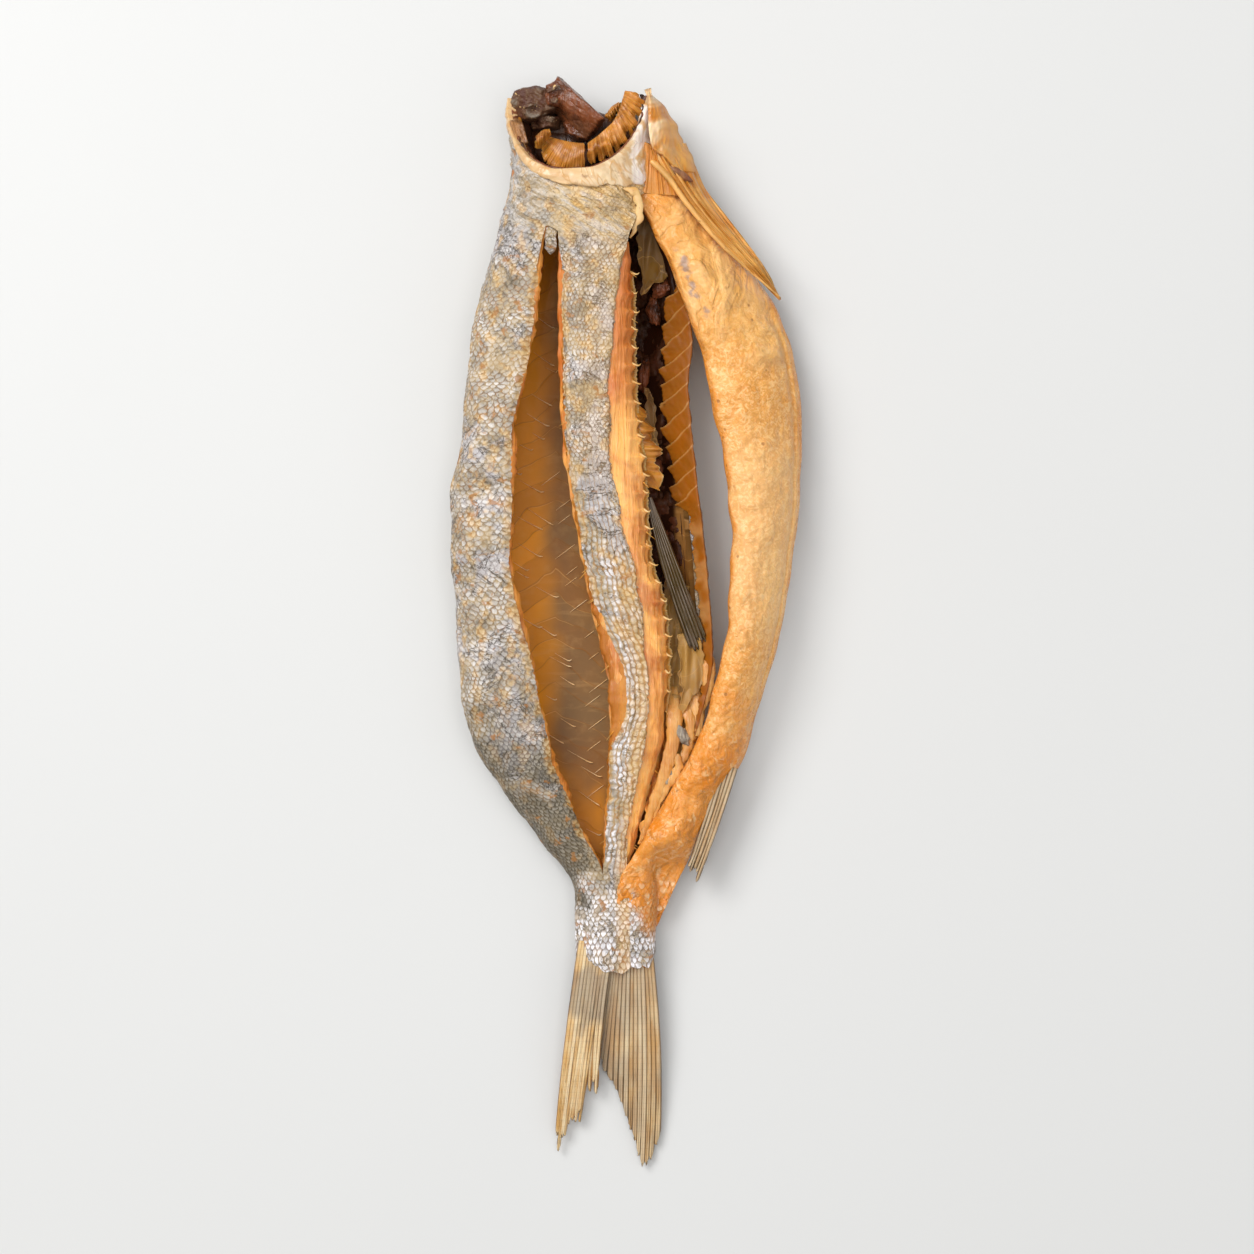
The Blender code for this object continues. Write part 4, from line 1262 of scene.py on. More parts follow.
def build_skin_tag():
    """The small tag of skin that hangs in the back slit's upper end."""

    def place(u, v):
        y = 76.0 - 6.2 * u
        middle = along(y, SLIT_RIGHT) - 1.5 + 0.15 * line_noise(y, 3, 161, 2)
        half = 1.12 * smooth(1.0, 0.78, u) ** 0.5 + 0.02
        x = middle + half * (2 * v - 1)
        z = tube(y, angle_at(y, x), 0.9)[..., 2] + 0.15 * np.sin(math.pi * v) - 1.6 * u**3
        return stacked(x, y, z) + 0.12 * ripple(stacked(x, y, z), 2.2, 162, 2)[..., None]

    tag = sheet("apex_flap", 40, 16, place, 0.4, None, lambda p, u, v: p[..., :2] * (0.9, -1.5) + 90)
    finish_piece(tag, scaled_skin())


def build_near_flesh():
    """Amber flesh under the near skin."""

    def depth(y, strip, t, edge, base):
        return strip_sag(y, strip, t) + 0.62 + 0.1 * ripple(base, 3, 13, 2) + 0.25 * smooth(0.5, 0, edge)

    def jagged(y):
        teeth = [0.28 * line_noise(y, 9, 70 + k, 2) + 0.30 * line_noise(y, 2.6, 75 + k, 3) for k in range(3)]
        teeth[0] = teeth[0] - 0.5 * smooth(0.45, 0.7, np.sin(y * 0.21 + 1.1))
        return np.stack(teeth, -1)

    def deep(p, h):
        y = np.clip(p.y, SLIT_END_Y, SLIT_TOP_Y)
        sliver = smooth(2.2, 0.6, p.x - slit_right(y)) * smooth(12, 4, y) * smooth(-24, -16, y)
        return sliver * (h["strip"] == 1)

    piece = near_sheet("near_flesh", 330, (34, 16, 20), jagged, depth, lambda *_: 0.0, {"deep": deep})
    finish_piece(piece, flesh("amber_flesh", "amber_rim", "amber_light", "honey", 110.0))
    thicken(piece, 1.7)


def far_points(u, v, extra, end):
    """The far wall, extra(base, u, v) further in. Between the slits it ends end beyond the belly side."""
    held = mix(RIM_TUCK, end, opened(mix(FRONT_RIM_Y, TAIL_ROOT_Y, u)))
    angle = mix(0.1, -math.pi - held, v)
    inset = 0.7 + 0.5 * smooth(-0.13, 0.0, angle)
    nominal = mix(FRONT_RIM_Y, TAIL_ROOT_Y + 2, u)
    y = station(nominal, angle)
    leaning = opened(nominal) * smooth(-math.pi / 2, -math.pi / 2 - 0.5, angle)
    roundness = mix(ROUNDNESS, LEAN, leaning)
    base = tube(y, angle, inset, roundness)
    return tube(y, angle, inset + extra(base, u, v), roundness)


def build_far_wall():
    """The wall that the slits show, seen from its inner side."""
    def extra(base, u, v):
        rough = 0.16 * ripple(base, 11, 23, 3) - 0.10 * np.abs(ripple(base, 4, 24, 2))
        return 0.15 + rough * smooth(0.5, 3, base[..., 2])

    def border(p):
        """The x at which the amber gives way to brown."""
        return -15.2 + 0.035 * (50 - p.y) + 1.3 * ripple(p, 22, 33, 3)

    def amber(p, u, v):
        low = smooth(-26, -36, p.y - 3 * ripple(p, 16, 35, 3)) * smooth(-3, -6, p.x)
        return np.maximum(smooth(1.6, -4.6, p.x - border(p) - 3.4 * smooth(30, 60, p.y)), 0.92 * low)

    def shade(p, u, v):
        band = np.exp(-(((p.x - border(p)) / 1.3) ** 2)) * smooth(28, 42, p.y)
        broad = 0.2 * smooth(-0.4, 0.8, ripple(p, 22, 36, 2)) * smooth(-14, -9, p.x)
        return unit(0.45 * band + broad)

    def dark(p, u, v):
        inner = slit_right(np.clip(p.y, SLIT_END_Y, SLIT_TOP_Y)) + 2.5
        cavity = smooth(-1.0, 1.5, p.x - inner) * smooth(10.5, 9.5, p.x)
        return cavity * smooth(-26, -12, p.y) + smooth(78, 84, p.y)

    def place(u, v):
        return far_points(u, v, extra, 0.02)

    def pattern(points, u, v):
        return points[..., :2] + np.array((14.0, 0.0))

    marks = {"amber": amber, "shade": shade, "dark": dark}
    finish_piece(sheet("far_wall", 230, 110, place, 1.5, marks, pattern), hollow_wall())


def build_far_skin():
    """Scaled skin of the far side."""
    holder = {}

    def place(u, v):
        base = far_points(u, v, lambda *_: -0.1, 0.12)
        cells = scale_cells(arc_lengths(base) + 60, base[..., 1], 1.35)
        holder["cells"] = cells
        hem = smooth(0.97, 1.0, v) + smooth(0.03, 0.0, v) + smooth(0.99, 1.0, u)

        def extra(base, u, v):
            return -0.1 - sizes().scale_relief * scale_rise(cells) + 0.5 * hem - 0.1 * ripple(base, 9, 43, 2)

        return far_points(u, v, extra, 0.12)

    marks = {
        "grey": lambda p, u, v: 0.55 * smooth(-0.2, 0.6, ripple(p, 12, 49, 3)),
        "gold": lambda p, u, v: 0.7 * smooth(0.0, 0.7, ripple(p, 14, 59, 3)),
        "bead": lambda p, u, v: 0.5 * smooth(-40, -55, p.y),
    }
    piece = grid_piece("far_skin", 360, 120, place, lambda *_: holder["cells"], marks)
    finish_piece(weld(piece), scaled_skin())


def build_pin_bones():
    """Pale pin bones that lie on the hollow's amber wall, leaning towards the tail."""
    rng = np.random.default_rng(21)
    bones = []
    for k in range(30):
        y = 63.0 - 3.5 * k + rng.uniform(-1.6, 1.6)
        left = float(along(y, SLIT_LEFT)) + rng.uniform(-0.5, 5.0)
        room = float(slit_right(np.array(y))) - left - 1.0
        if room < 2.0:
            continue
        length = min(rng.uniform(1.8, 5.2), room)
        slope = -math.tan(math.radians(rng.uniform(29, 37)))
        t = np.linspace(0, 1, 10)
        x = left + length * t
        down = y + slope * length * t
        path = stacked(x, down + 0.2 * t**3, inner_wall_z(x, down, 0.0))
        path[:, 2] += 0.12 + 0.5 * t**6
        path[:, 1] += rng.uniform(0.0, 0.6) * smooth(0.84, 1.0, t)
        radii = np.interp(t, [0, 0.6, 0.92, 1], [0.02, 0.07, 0.15, 0.06])
        bones.append(rod(f"pin_bone_{k:02d}", path, radii))
    for k in range(15):
        y = 30.0 - 4.3 * k + rng.uniform(-1.2, 1.2)
        right = float(slit_right(np.array(y))) - rng.uniform(0.3, 2.6)
        length = rng.uniform(1.8, 4.0)
        t = np.linspace(0, 1, 8)
        x = right - length * t
        down = y - 0.75 * length * t
        path = stacked(x, down, inner_wall_z(x, down, 0.05))
        bones.append(rod(f"pin_bone_right_{k:02d}", path, np.interp(t, [0, 0.5, 1], [0.05, 0.08, 0.03])))
    finish_piece(join("pin_bones", bones), bone("pin_bone", "pin", "belly_pale", 0.0))


def build_middle_flesh():
    """The middle strip's thick flesh, with its sloping cut side scalloped between the rib stubs."""

    def ring(y):
        wide = opened(y)
        left, skin = slit_right(y) + 0.2, along(y, MIDDLE_EDGE)
        teeth = scallop(y, sizes().rib_pitch) * smooth(-16, -8, y) * smooth(70, 64, y)
        cut = along(y, MIDDLE_FLESH) + 0.8 * teeth * wide - 0.35
        sunk = 0.6 + 1.2 * (1 - wide)
        side = tube(y, angle_at(y, left + 1.2), sunk + 0.3)[..., 2]
        top = tube(y, angle_at(y, skin), sunk)[..., 2]
        half = mix(left, skin, 0.6)
        deep = 2.4 + 2.6 * wide
        return (
            (left - 0.7 * wide, side - 1.4),
            (left + 1.2, side),
            (half, tube(y, angle_at(y, half), sunk + 0.3)[..., 2]),
            (skin, top),
            (mix(skin, cut, 0.55), top - 0.8),
            (cut, top - 2.2 * wide - 0.4),
            (cut - 0.9, top - deep),
            (mix(left, cut, 0.5), top - deep - 1.2),
            (left + 0.4, side - deep + 0.6),
        )

    def picked(table, index):
        return np.take_along_axis(table, index[..., None], -1)[..., 0]

    def place(u, v):
        y = mix(SLIT_TOP_Y - 2, SLIT_END_Y - 2, u)
        corners = ring(y)
        place_on = v * len(corners)
        k = np.minimum(place_on.astype(int), len(corners) - 1)
        t = place_on - k
        xs = np.stack([corner[0] for corner in corners] + [corners[0][0]], -1)
        zs = np.stack([corner[1] for corner in corners] + [corners[0][1]], -1)
        x, z = [mix(picked(table, k), picked(table, k + 1), t) for table in (xs, zs)]
        points = stacked(x, y, z)
        shrink = smooth(0, 0.006, u) * smooth(1, 0.994, u)
        centre = stacked(xs.mean(-1), y, zs.mean(-1))
        slanted = points + np.array((0.22, 0, 0)) * points[..., 1:2]
        strands = ripple(slanted * np.array((1.0, 0.2, 1.0)), 1.9, 61, 3)
        strands = strands - 0.8 * np.abs(ripple(slanted * (1, 0.3, 1), 3.2, 63, 2))
        lumps = ripple(points, 6, 62, 2)
        outward = points - centre
        outward /= np.linalg.norm(outward, axis=-1, keepdims=True) + 1e-6
        points = points + outward * (0.09 * strands + 0.22 * lumps)[..., None]
        return centre + (points - centre) * shrink[..., None]

    def deep(p, u, v):
        return unit(smooth(34, 52, p.y) + 0.5 * smooth(0.2, 0.8, ripple(p, 9, 64, 3)))

    cut = flesh("cut_flesh", "cut_deep", "cut_light", "cut_streak", 85.0, 0.28, 0.2)
    finish_piece(weld(grid_piece("middle_flesh", 460, 72, place, None, {"deep": deep})), cut)


def scallop(y, pitch):
    """0 to 1: points towards the belly once a pitch, flat above and hollowed below."""
    phase = np.mod((FIRST_RIB_Y - y) / pitch, 1)
    return np.where(phase < 0.5, (1 - phase / 0.5) ** 2, unit((phase - 0.84) / 0.16))


def build_rib_stubs():
    """The cream, hooked ends of the cut ribs along the middle strip."""
    rng = np.random.default_rng(7)
    stubs = []
    pitch = sizes().rib_pitch
    for k in range(int((FIRST_RIB_Y - LAST_RIB_Y) / pitch)):
        y = FIRST_RIB_Y - k * pitch + rng.uniform(-0.3, 0.3)
        cut = float(along(y, MIDDLE_FLESH))
        top = cut_height(y) - 2.6
        t = np.linspace(0, 1, 11)
        reach = rng.uniform(0.6, 1.3) * (0.55 if y < -8 else 1.0)
        hook = rng.uniform(0.3, 0.9)
        x = cut - 0.5 + (0.5 + reach) * t
        path = stacked(x, y + 0.6 - 0.9 * t + hook * t**5, top + 0.6 * np.sin(t * 1.9) - 0.1)
        radii = np.interp(t, [0, 0.45, 0.8, 1], [0.30, 0.20, 0.14, 0.04])
        stubs.append(rod(f"rib_stub_{k:02d}", path, radii, 7))
    finish_piece(join("rib_stubs", stubs), bone("rib_bone", "bone", "ray_gold", 0.3))


def cut_height(y):
    """Height of the middle strip's cut edge at y."""
    return tube(y, angle_at(y, along(y, MIDDLE_EDGE)), 0.6)[..., 2]


def build_rib_web():
    """Thin amber webs that droop between the rib stubs, torn into points, and the larger torn flap below."""

    def web(name, first, last, reach, pitch, sink, seed, rows):
        def place(u, v):
            y = mix(first, last, u) + 0.5 * v * line_noise(mix(first, last, u), 5, seed + 2)
            phase = np.mod((FIRST_RIB_Y - y) / pitch + 0.12 * line_noise(y, 9, seed), 1)
            tooth = 0.25 + 0.75 * np.abs(2 * phase - 1) ** 1.6
            ragged = 0.3 * np.abs(line_noise(y, 1.7, seed + 1, 3))
            ends = smooth(0, 0.05, u) * smooth(1, 0.95, u)
            width = (reach * tooth + ragged + 0.1) * ends
            inner = along(y, MIDDLE_FLESH) - 1.2
            x = inner + (1.2 + width) * v
            top = cut_height(y)
            curl = 0.5 * np.sin(2.6 * v) * tooth - 0.35 * np.cos(2 * math.pi * phase) * v
            return stacked(x, y, top - 2.5 - sink * v**1.3 + curl)

        return sheet(name, rows, 14, place, 0.16, {"tip": lambda p, u, v: v**2}, offset=0.0)

    def flap(u, v):
        y = mix(42.0, 27.4, u)
        inner = along(y, MIDDLE_FLESH) - 1.2
        outer = along(y, TORN_FLAP) + 0.25 * line_noise(y, 1.4, 118, 2)
        x = mix(inner, outer, v) + 0.2 * line_noise(y + 3 * v, 3, 119, 2)
        top = cut_height(y)
        curl = 0.5 * np.sin(4.0 * v + 0.3 * y) - 0.4 * v * line_noise(y, 3.0, 120, 2)
        hem = -1.6 * v * smooth(0.75, 1.0, u)
        return stacked(x, y + hem, top - 2.8 - 2.6 * v**1.3 + curl)

    torn = {"tip": lambda p, u, v: 0.75 * smooth(0.86, 1.0, v)}
    pieces = [
        web("rib_web", 66.5, -16.0, 0.5, sizes().rib_pitch, 1.6, 111, 520),
        sheet("torn_flap", 150, 30, flap, 0.16, torn, offset=0.0),
    ]
    finish_piece(join("rib_web", pieces), thin_web())


def band_place(y, v):
    """Points across the far wall's freed band: v runs from its ragged inner edge to the wall's edge."""
    pitch = sizes().rib_pitch * 1.14
    outer = along(y, BAND_OUTER)
    width = outer - along(y, BAND_INNER)
    leaf = smooth(21.5, 23.5, y)
    phase = np.mod((y - 1.0 * width * (v - 1)) / pitch + 0.16 * line_noise(y, 15, 75), 1)
    tooth = phase**1.5 * leaf
    ragged = (0.3 * leaf + 0.5 * (1 - leaf)) * line_noise(y, mix(7, 3, leaf.mean()), 76)
    inner = outer - width - (1.2 * tooth + ragged) * (1 - v) ** 2
    x = mix(inner, outer, v)
    low, high = along(y, BOTTOM), along(y, TOP)
    rim = (low + high) / 2 + 2.6
    z = rim - (3.0 * (1 - v) ** 1.2 + 0.25) * smooth(0, 1, width / 4)
    shingle = 0.20 * phase**0.7 * smooth(0.0, 0.1, 1.02 - phase) * smooth(1.0, 0.9, v) * leaf
    return stacked(x, y, z + shingle * np.minimum(width / 4, 1)), mix(0.5, phase, leaf)


def build_rib_band():
    """The far wall's freed side: amber muscle in leaning segments, each with its rib's pale line."""

    def place(u, v):
        y = mix(*BAND_ENDS, u)
        points, phase = band_place(y, v)
        points[..., 2] += 0.05 * ripple(points, 2.4, 72, 2)
        return points

    def line(points, u, v):
        phase = band_place(mix(*BAND_ENDS, u), v)[1]
        y = points[..., 1]
        plain = 0.75 * smooth(21, 18, y) * smooth(-6, 2, y) * smooth(-0.9, 0.5, ripple(points, 5, 78, 2))
        return np.maximum(smooth(0.86, 0.95, phase) * smooth(1.0, 0.98, phase), plain)

    # Painted shade: darkest just past each rib's line and towards the band's ragged inner edge.
    def low(points, u, v):
        return 0.75 * smooth(0.35, 0.0, band_place(mix(*BAND_ENDS, u), v)[1]) + 0.5 * smooth(0.35, 0.0, v)

    finish_piece(sheet("rib_band", 460, 30, place, 0.9, {"line": line, "low": low}), band_flesh())


def build_cavity():
    """What dried in the cavity: a dark, lumpy lining, red-brown lumps and thin olive membranes."""

    def lining(u, v):
        y = mix(76.0, -30.0, u)
        x = mix(along(y, SLIT_RIGHT) + 6.0, along(y, FAR_EDGE) - 2.4, v)
        z = inner_wall_z(x, y, 0.25)
        points = stacked(x, y, z)
        swell = 1.0 * ripple(points, 7, 121, 3) + 0.7 * np.abs(ripple(points, 3.2, 122, 3)) + 0.8
        points[..., 2] += np.maximum(swell, 0.1) * smooth(0, 0.06, v) * smooth(1, 0.9, v)
        return points

    gut = flesh("gut_flesh", "blood", "dark_flesh", "gut_brown", 190.0, 0.34, 0.0, 0.14)
    finish_piece(sheet("gut_lining", 300, 44, lining, 0.5), gut)
    spots = [
        (6.6, 64.5, 9.4, 2.2, 1.6, 1.3, 30), (8.6, 61.4, 9.0, 1.6, 2.3, 1.2, -20),
        (5.0, 60.0, 8.6, 1.3, 2.6, 1.0, 10), (3.0, 48.0, 7.2, 1.2, 3.0, 1.1, -8),
        (5.2, 30.5, 6.6, 1.3, 2.4, 1.2, 15), (6.8, 17.0, 6.0, 1.1, 2.4, 1.0, 20),
    ]
    red = flesh("red_lumps", "blood", "red_flesh", "dark_flesh", 220.0, 0.26, 0.05, 0.25)
    lumps = [
        lump(f"gut_lump_{k}", (x, y, z), (a, b, c), turn, 0.22, 130 + k, 5, 1.2)
        for k, (x, y, z, a, b, c, turn) in enumerate(spots)
    ]
    finish_piece(join("gut_lumps", lumps), red)

    def film(name, corners, sag, seed, rows=70, columns=40):
        corners = np.array(corners, float)

        def place(u, v):
            points = between_corners(corners, u, v)
            points[..., 2] -= sag * np.sin(math.pi * u) * np.sin(math.pi * v)
            points[..., 2] += 1.3 * np.abs(ripple(points * (1.0, 0.25, 1.0), 5.0, seed, 2)) - 0.4
            edge = 0.5 * ripple(points, 3.2, seed + 1, 2)
            points[..., 0] += edge * (smooth(0.15, 0, v) + smooth(0.85, 1, v))
            points[..., 1] += edge * (smooth(0.15, 0, u) + smooth(0.85, 1, u))
            return points

        def tip(p, u, v):
            return 0.6 * smooth(0.3, 0.9, ripple(p, 3, seed + 2, 2))

        return sheet(name, rows, columns, place, 0.14, {"tip": tip}, offset=0.0)

    films = [
        film("film_front", [(1.4, 79.0, 13.5), (5.6, 79.0, 13.0), (7.4, 66.5, 10.5), (2.6, 63.0, 11.0)],
             1.2, 141),
        film("film_middle", [(3.4, 46.0, 10.0), (5.0, 44.0, 9.0), (5.6, 34.0, 8.0), (4.2, 33.0, 9.0)], 0.5,
             144, 50, 20),
        film("film_low_1", [(9.8, -1.0, 10.0), (14.0, -2.0, 9.8), (14.6, -10.0, 9.8), (10.0, -17.2, 10.0)],
             0.5, 147),
        film("film_low_2", [(7.0, 9.0, 8.2), (14.6, 8.0, 7.8), (16.4, -14.0, 7.4), (6.8, -15.0, 8.0)], 0.6,
             150),
        film("film_low_3", [(6.6, -13.0, 8.6), (16.0, -13.0, 7.6), (10.8, -30.0, 7.6), (4.6, -30.5, 8.6)],
             0.9, 153),
        film("film_low_4", [(4.6, -27.0, 8.6), (11.6, -25.5, 7.4), (5.2, -41.0, 7.2), (2.0, -41.5, 8.2)],
             0.7, 156),
    ]
    finish_piece(join("membranes", films), membrane())
    folds = []
    for k, (knots, widest) in enumerate(CAVITY_FOLDS):
        path = curve_through(knots, 40)
        t = np.linspace(0, 1, 40)
        radii = widest * np.interp(t, [0, 0.15, 0.6, 1], [0.7, 1.0, 0.85, 0.2])
        radii = radii * (1.5 + 0.15 * np.sin(9 * t + k))
        folds.append(rod(f"cavity_fold_{k}", path, radii, 20, 0.24, 170 + k, 0.36))
    curl = flesh("fold_flesh", "fin_orange", "fin_gold", "ray", 150.0, 0.3, 0.1)
    finish_piece(join("cavity_folds", folds), curl)
    spot = join("grey_spot", [
        lump("grey_spot", (10.2, -20.4, 10.3), (1.0, 2.1, 0.6), 28, 0.22, 177, 5, 1.2),
        lump("grey_spot_low", (7.9, -28.6, 9.9), (0.8, 2.2, 0.5), -24, 0.22, 178, 5, 1.2),
    ])
    finish_piece(spot, flesh("grey_spot_flesh", "web_grey", "mould", "ray_pale", 300.0, 0.3, 0.0))


def build_belly_strip():
    """The smooth belly strip, which curves away and comes back to the tail root."""

    def place(u, v):
        y = mix(*BELLY_ENDS, u)
        left, right = along(y, BELLY_LEFT), along(y, BELLY_RIGHT)
        turn = 2 * math.pi * v
        t = (1 - np.cos(turn)) / 2
        lift = 1.8 * smooth(-32, -42, y)
        chord = mix(along(y, BELLY_LEFT_Z), along(y, BELLY_RIGHT_Z), t) + lift
        crown = along(y, BELLY_CROWN) * np.maximum(4 * t * (1 - t), 0) ** 0.6
        crease = 0.9 * np.exp(-(((t - 0.90) / 0.022) ** 2)) * smooth(-16, -4, y) * smooth(62, 54, y)
        outside = chord + crown - crease
        wall = np.minimum(4.0, 0.7 * (right - left)) + lift
        under = wall * np.abs(np.sin(turn)) ** 0.7 * (v > 0.5)
        front = np.sqrt(unit(u / 0.02) * (2 - unit(u / 0.02)))
        ends = front * smooth(1, 0.97, u) ** 0.6
        middle = (left + right) / 2
        edge = 0.4 * line_noise(y, 24, 81, 2) * (1 - t) - 0.3 * line_noise(y, 20, 82, 2) * t
        x = middle + (mix(left, right, t) - middle + edge) * (0.55 + 0.45 * front) * smooth(1, 0.97, u) ** 0.6
        z = mix(chord + 0.3 * crown, outside - under, ends)
        points = stacked(x, y + 1.6 * np.sin(math.pi * t) * (1 - front), z)
        folds = 1.0 * sizes().crumple * (ripple(points, 13, 83, 3) + 0.5 * np.abs(ripple(points, 4.5, 84, 2)))
        swirl = 0.30 * (0.5 - np.abs(ripple(points, 9.5, 85, 2))) * smooth(46, 62, y)
        lip = 0.5 * np.exp(-(((t - 0.05) / 0.04) ** 2)) * smooth(20, 60, y)
        grain = 0.07 * ripple(points, 1.7, 86, 2) + 0.16 * smooth(10, -20, y) * ripple(points, 2.8, 88, 3)
        points[..., 2] += (folds + swirl + lip + grain) * ends * (v < 0.5)
        at = points[..., 1]
        skin = tube(at, angle_at(at, points[..., 0]))[..., 2]
        resting = skin + 0.7 * (4 * t * (1 - t)) ** 0.5 + 0.30 * ripple(points, 4, 87, 3) - 0.20
        resting = resting - 1.8 * smooth(-51, -60, at + 2.2 * ripple(points, 5, 89, 3)) - 1.4 * (v > 0.5)
        points[..., 2] = mix(points[..., 2], resting, smooth(-40, -48, at))
        return points

    def oily(p, u, v):
        edge = np.abs(np.cos(2 * math.pi * v))
        rims = 0.75 * smooth(0.86, 1.0, edge + 0.05 * ripple(p, 6, 93, 2))
        low = smooth(-5, -29, p.y - 7 * ripple(p, 9, 94, 3))
        corner = 0.8 * smooth(9.0, 2.0, np.hypot(p.x - 3.0, p.y - 82.0) + ripple(p, 6, 97, 2))
        return unit(low + rims + corner + 0.5 * (v > 0.5))

    def vein(p, u, v):
        path = 9.4 + 0.40 * (71 - p.y) + 0.9 * line_noise(p.y, 6, 92)
        return smooth(1.3, 0.3, np.abs(p.x - path)) * smooth(57, 60, p.y) * smooth(72, 69, p.y)

    marks = {
        "oily": oily,
        "wavy": lambda p, u, v: smooth(44, 62, p.y + 6 * ripple(p, 14, 91, 2)),
        "vein": vein,
        "merge": lambda p, u, v: smooth(-46, -54, p.y + 2 * ripple(p, 5, 95, 3)),
    }
    piece = grid_piece("belly_strip", 520, 124, place, lambda points, u, v: points[..., :2], marks)
    finish_piece(weld(piece), belly_skin())


def build_gill_comb():
    """The gill arch in the collar: a smooth plate at the back side, a toothed one at the belly side."""

    def plate(name, inner, outer, heights, teeth, depth, seed, columns):
        """inner and outer are (x, y) points along its edges, heights its z at both ends and between."""

        def place(u, v):
            a, b = [curve_at(side, v * (len(side) - 1)) for side in (inner, outer)]
            phase = np.mod(v * teeth + 0.16 * line_noise(v * 20, 4, seed + 9), 1)
            notch = smooth(0.42, 0.56, np.abs(phase - 0.5) * 2) * (0.7 + 0.3 * np.sin(v * 29 + seed))
            reach = u * (1 - depth * notch) + 0.04 * line_noise(v * 30, 1.5, seed + 3) * u
            flat = mix(a, b, reach[..., None])
            z = along(v, list(zip((0, 0.5, 1), heights))) + 0.9 * np.sin(math.pi * u) - 0.5 * u
            points = np.concatenate((flat, z[..., None]), -1)
            points[..., 2] += 0.06 * np.sin(v * 60) * u + 0.25 * ripple(points, 4.0, seed + 5, 2)
            return points

        def pattern(points, u, v):
            return stacked(v * teeth * 1.7 + 0.5 + 0.2 * np.sin(3 * u), points[..., 1])

        return sheet(name, 30, columns, place, 0.7, None, pattern)

    pieces = [
        plate("comb_back", [(-14.6, 92.6), (-12.9, 91.9), (-10.5, 91.3), (-8.3, 91.0)],
              [(-16.6, 91.6), (-15.8, 88.0), (-12.3, 85.9), (-8.1, 86.0)], (14.8, 16.4, 17.4), 13, 0.06, 3,
              240),
        plate("comb_belly", [(-7.6, 91.0), (-4.9, 93.1), (-2.5, 95.6), (-1.3, 98.7), (-0.6, 101.2)],
              [(-7.4, 87.0), (-3.4, 88.2), (-0.2, 91.1), (2.2, 95.0), (3.4, 100.2)], (17.6, 17.0, 15.4), 9,
              0.30, 4, 360),
        plate("comb_flap", [(-17.4, 92.4), (-16.0, 93.4), (-14.8, 93.8)],
              [(-17.0, 89.8), (-16.2, 90.6), (-14.4, 92.6)], (17.2, 17.6, 16.6), 3, 0.1, 6, 60),
        plate("comb_second", [(-4.0, 97.2), (-3.2, 98.4), (-1.8, 99.4)],
              [(-3.2, 95.6), (-2.2, 96.6), (-1.2, 97.8)], (13.6, 13.8, 13.6), 5, 0.5, 7, 90),
    ]
    finish_piece(join("gill_comb", pieces), gill_horn())


def build_collar_rim():
    """The bone that edges the collar's mouth, thin at the back side and broad and pale at the belly side."""

    def place(u, v):
        angle = mix(0.02, math.pi + 0.10, v)
        share = (1 - np.cos(2 * math.pi * u)) / 2
        outer_y = along(angle, RIM_OUTER) + 0.3 * line_noise(angle * 6, 3, 101, 3)
        y = np.minimum(mix(along(angle, RIM_INNER), outer_y, share), 101)
        crest = np.sin(2 * math.pi * u)
        dents = ripple(stacked(angle * 9, y * 0.8), 5, 102, 3)
        lift = 0.2 + np.abs(crest) ** 0.6 * (0.42 + 0.22 * dents)
        return tube(y, angle, np.where(crest > 0, -lift, 1.9 * np.abs(crest) ** 0.6 - 0.2))

    finish_piece(weld(grid_piece("collar_rim", 44, 330, place)), rim_bone())

    def lining(u, v):
        angle = mix(0.05, math.pi - 0.02, v)
        y = np.minimum(along(angle, RIM_INNER) + 0.3 - 0.5 * u, 100.9)
        points = tube(y, angle, 0.5 + (1.4 + 1.6 * smooth(1.2, 0.4, angle)) * u)
        points[..., 2] -= 8.5 * u * smooth(0.0, 0.6, np.sin(angle))
        return points + 0.2 * ripple(points, 3.5, 103, 3)[..., None]

    marks = {"deep": lambda p, u, v: smooth(0.15, 0.75, u)}
    lining = sheet("collar_lining", 30, 220, lining, 0.6, marks)
    finish_piece(lining, flesh("lining_flesh", "blood", "red_flesh", "dark_streak", 170.0, 0.4, 0.0))
    path = curve_through([(-1.0, 82.0, 21.6), (1.0, 81.4, 21.4), (2.0, 79.6, 21.0), (2.2, 77.2, 20.7),
                          (1.4, 75.0, 20.5), (0.5, 72.8, 20.2)], 44)
    path[:, 0] += 0.15 * np.sin(np.arange(44) * 0.7)
    t = np.linspace(0, 1, 44)
    radii = np.interp(t, [0, 0.2, 0.7, 1], [0.25, 0.80, 0.70, 0.20])
    radii = radii * (1 + 0.10 * np.sin(np.arange(44) * 0.9))
    ruffle = rod("collar_ruffle", path, radii, 18, 0.12, 171, 0.35)
    finish_piece(ruffle, bone("ruffle_skin", "bone", "bone_warm", 0.9))


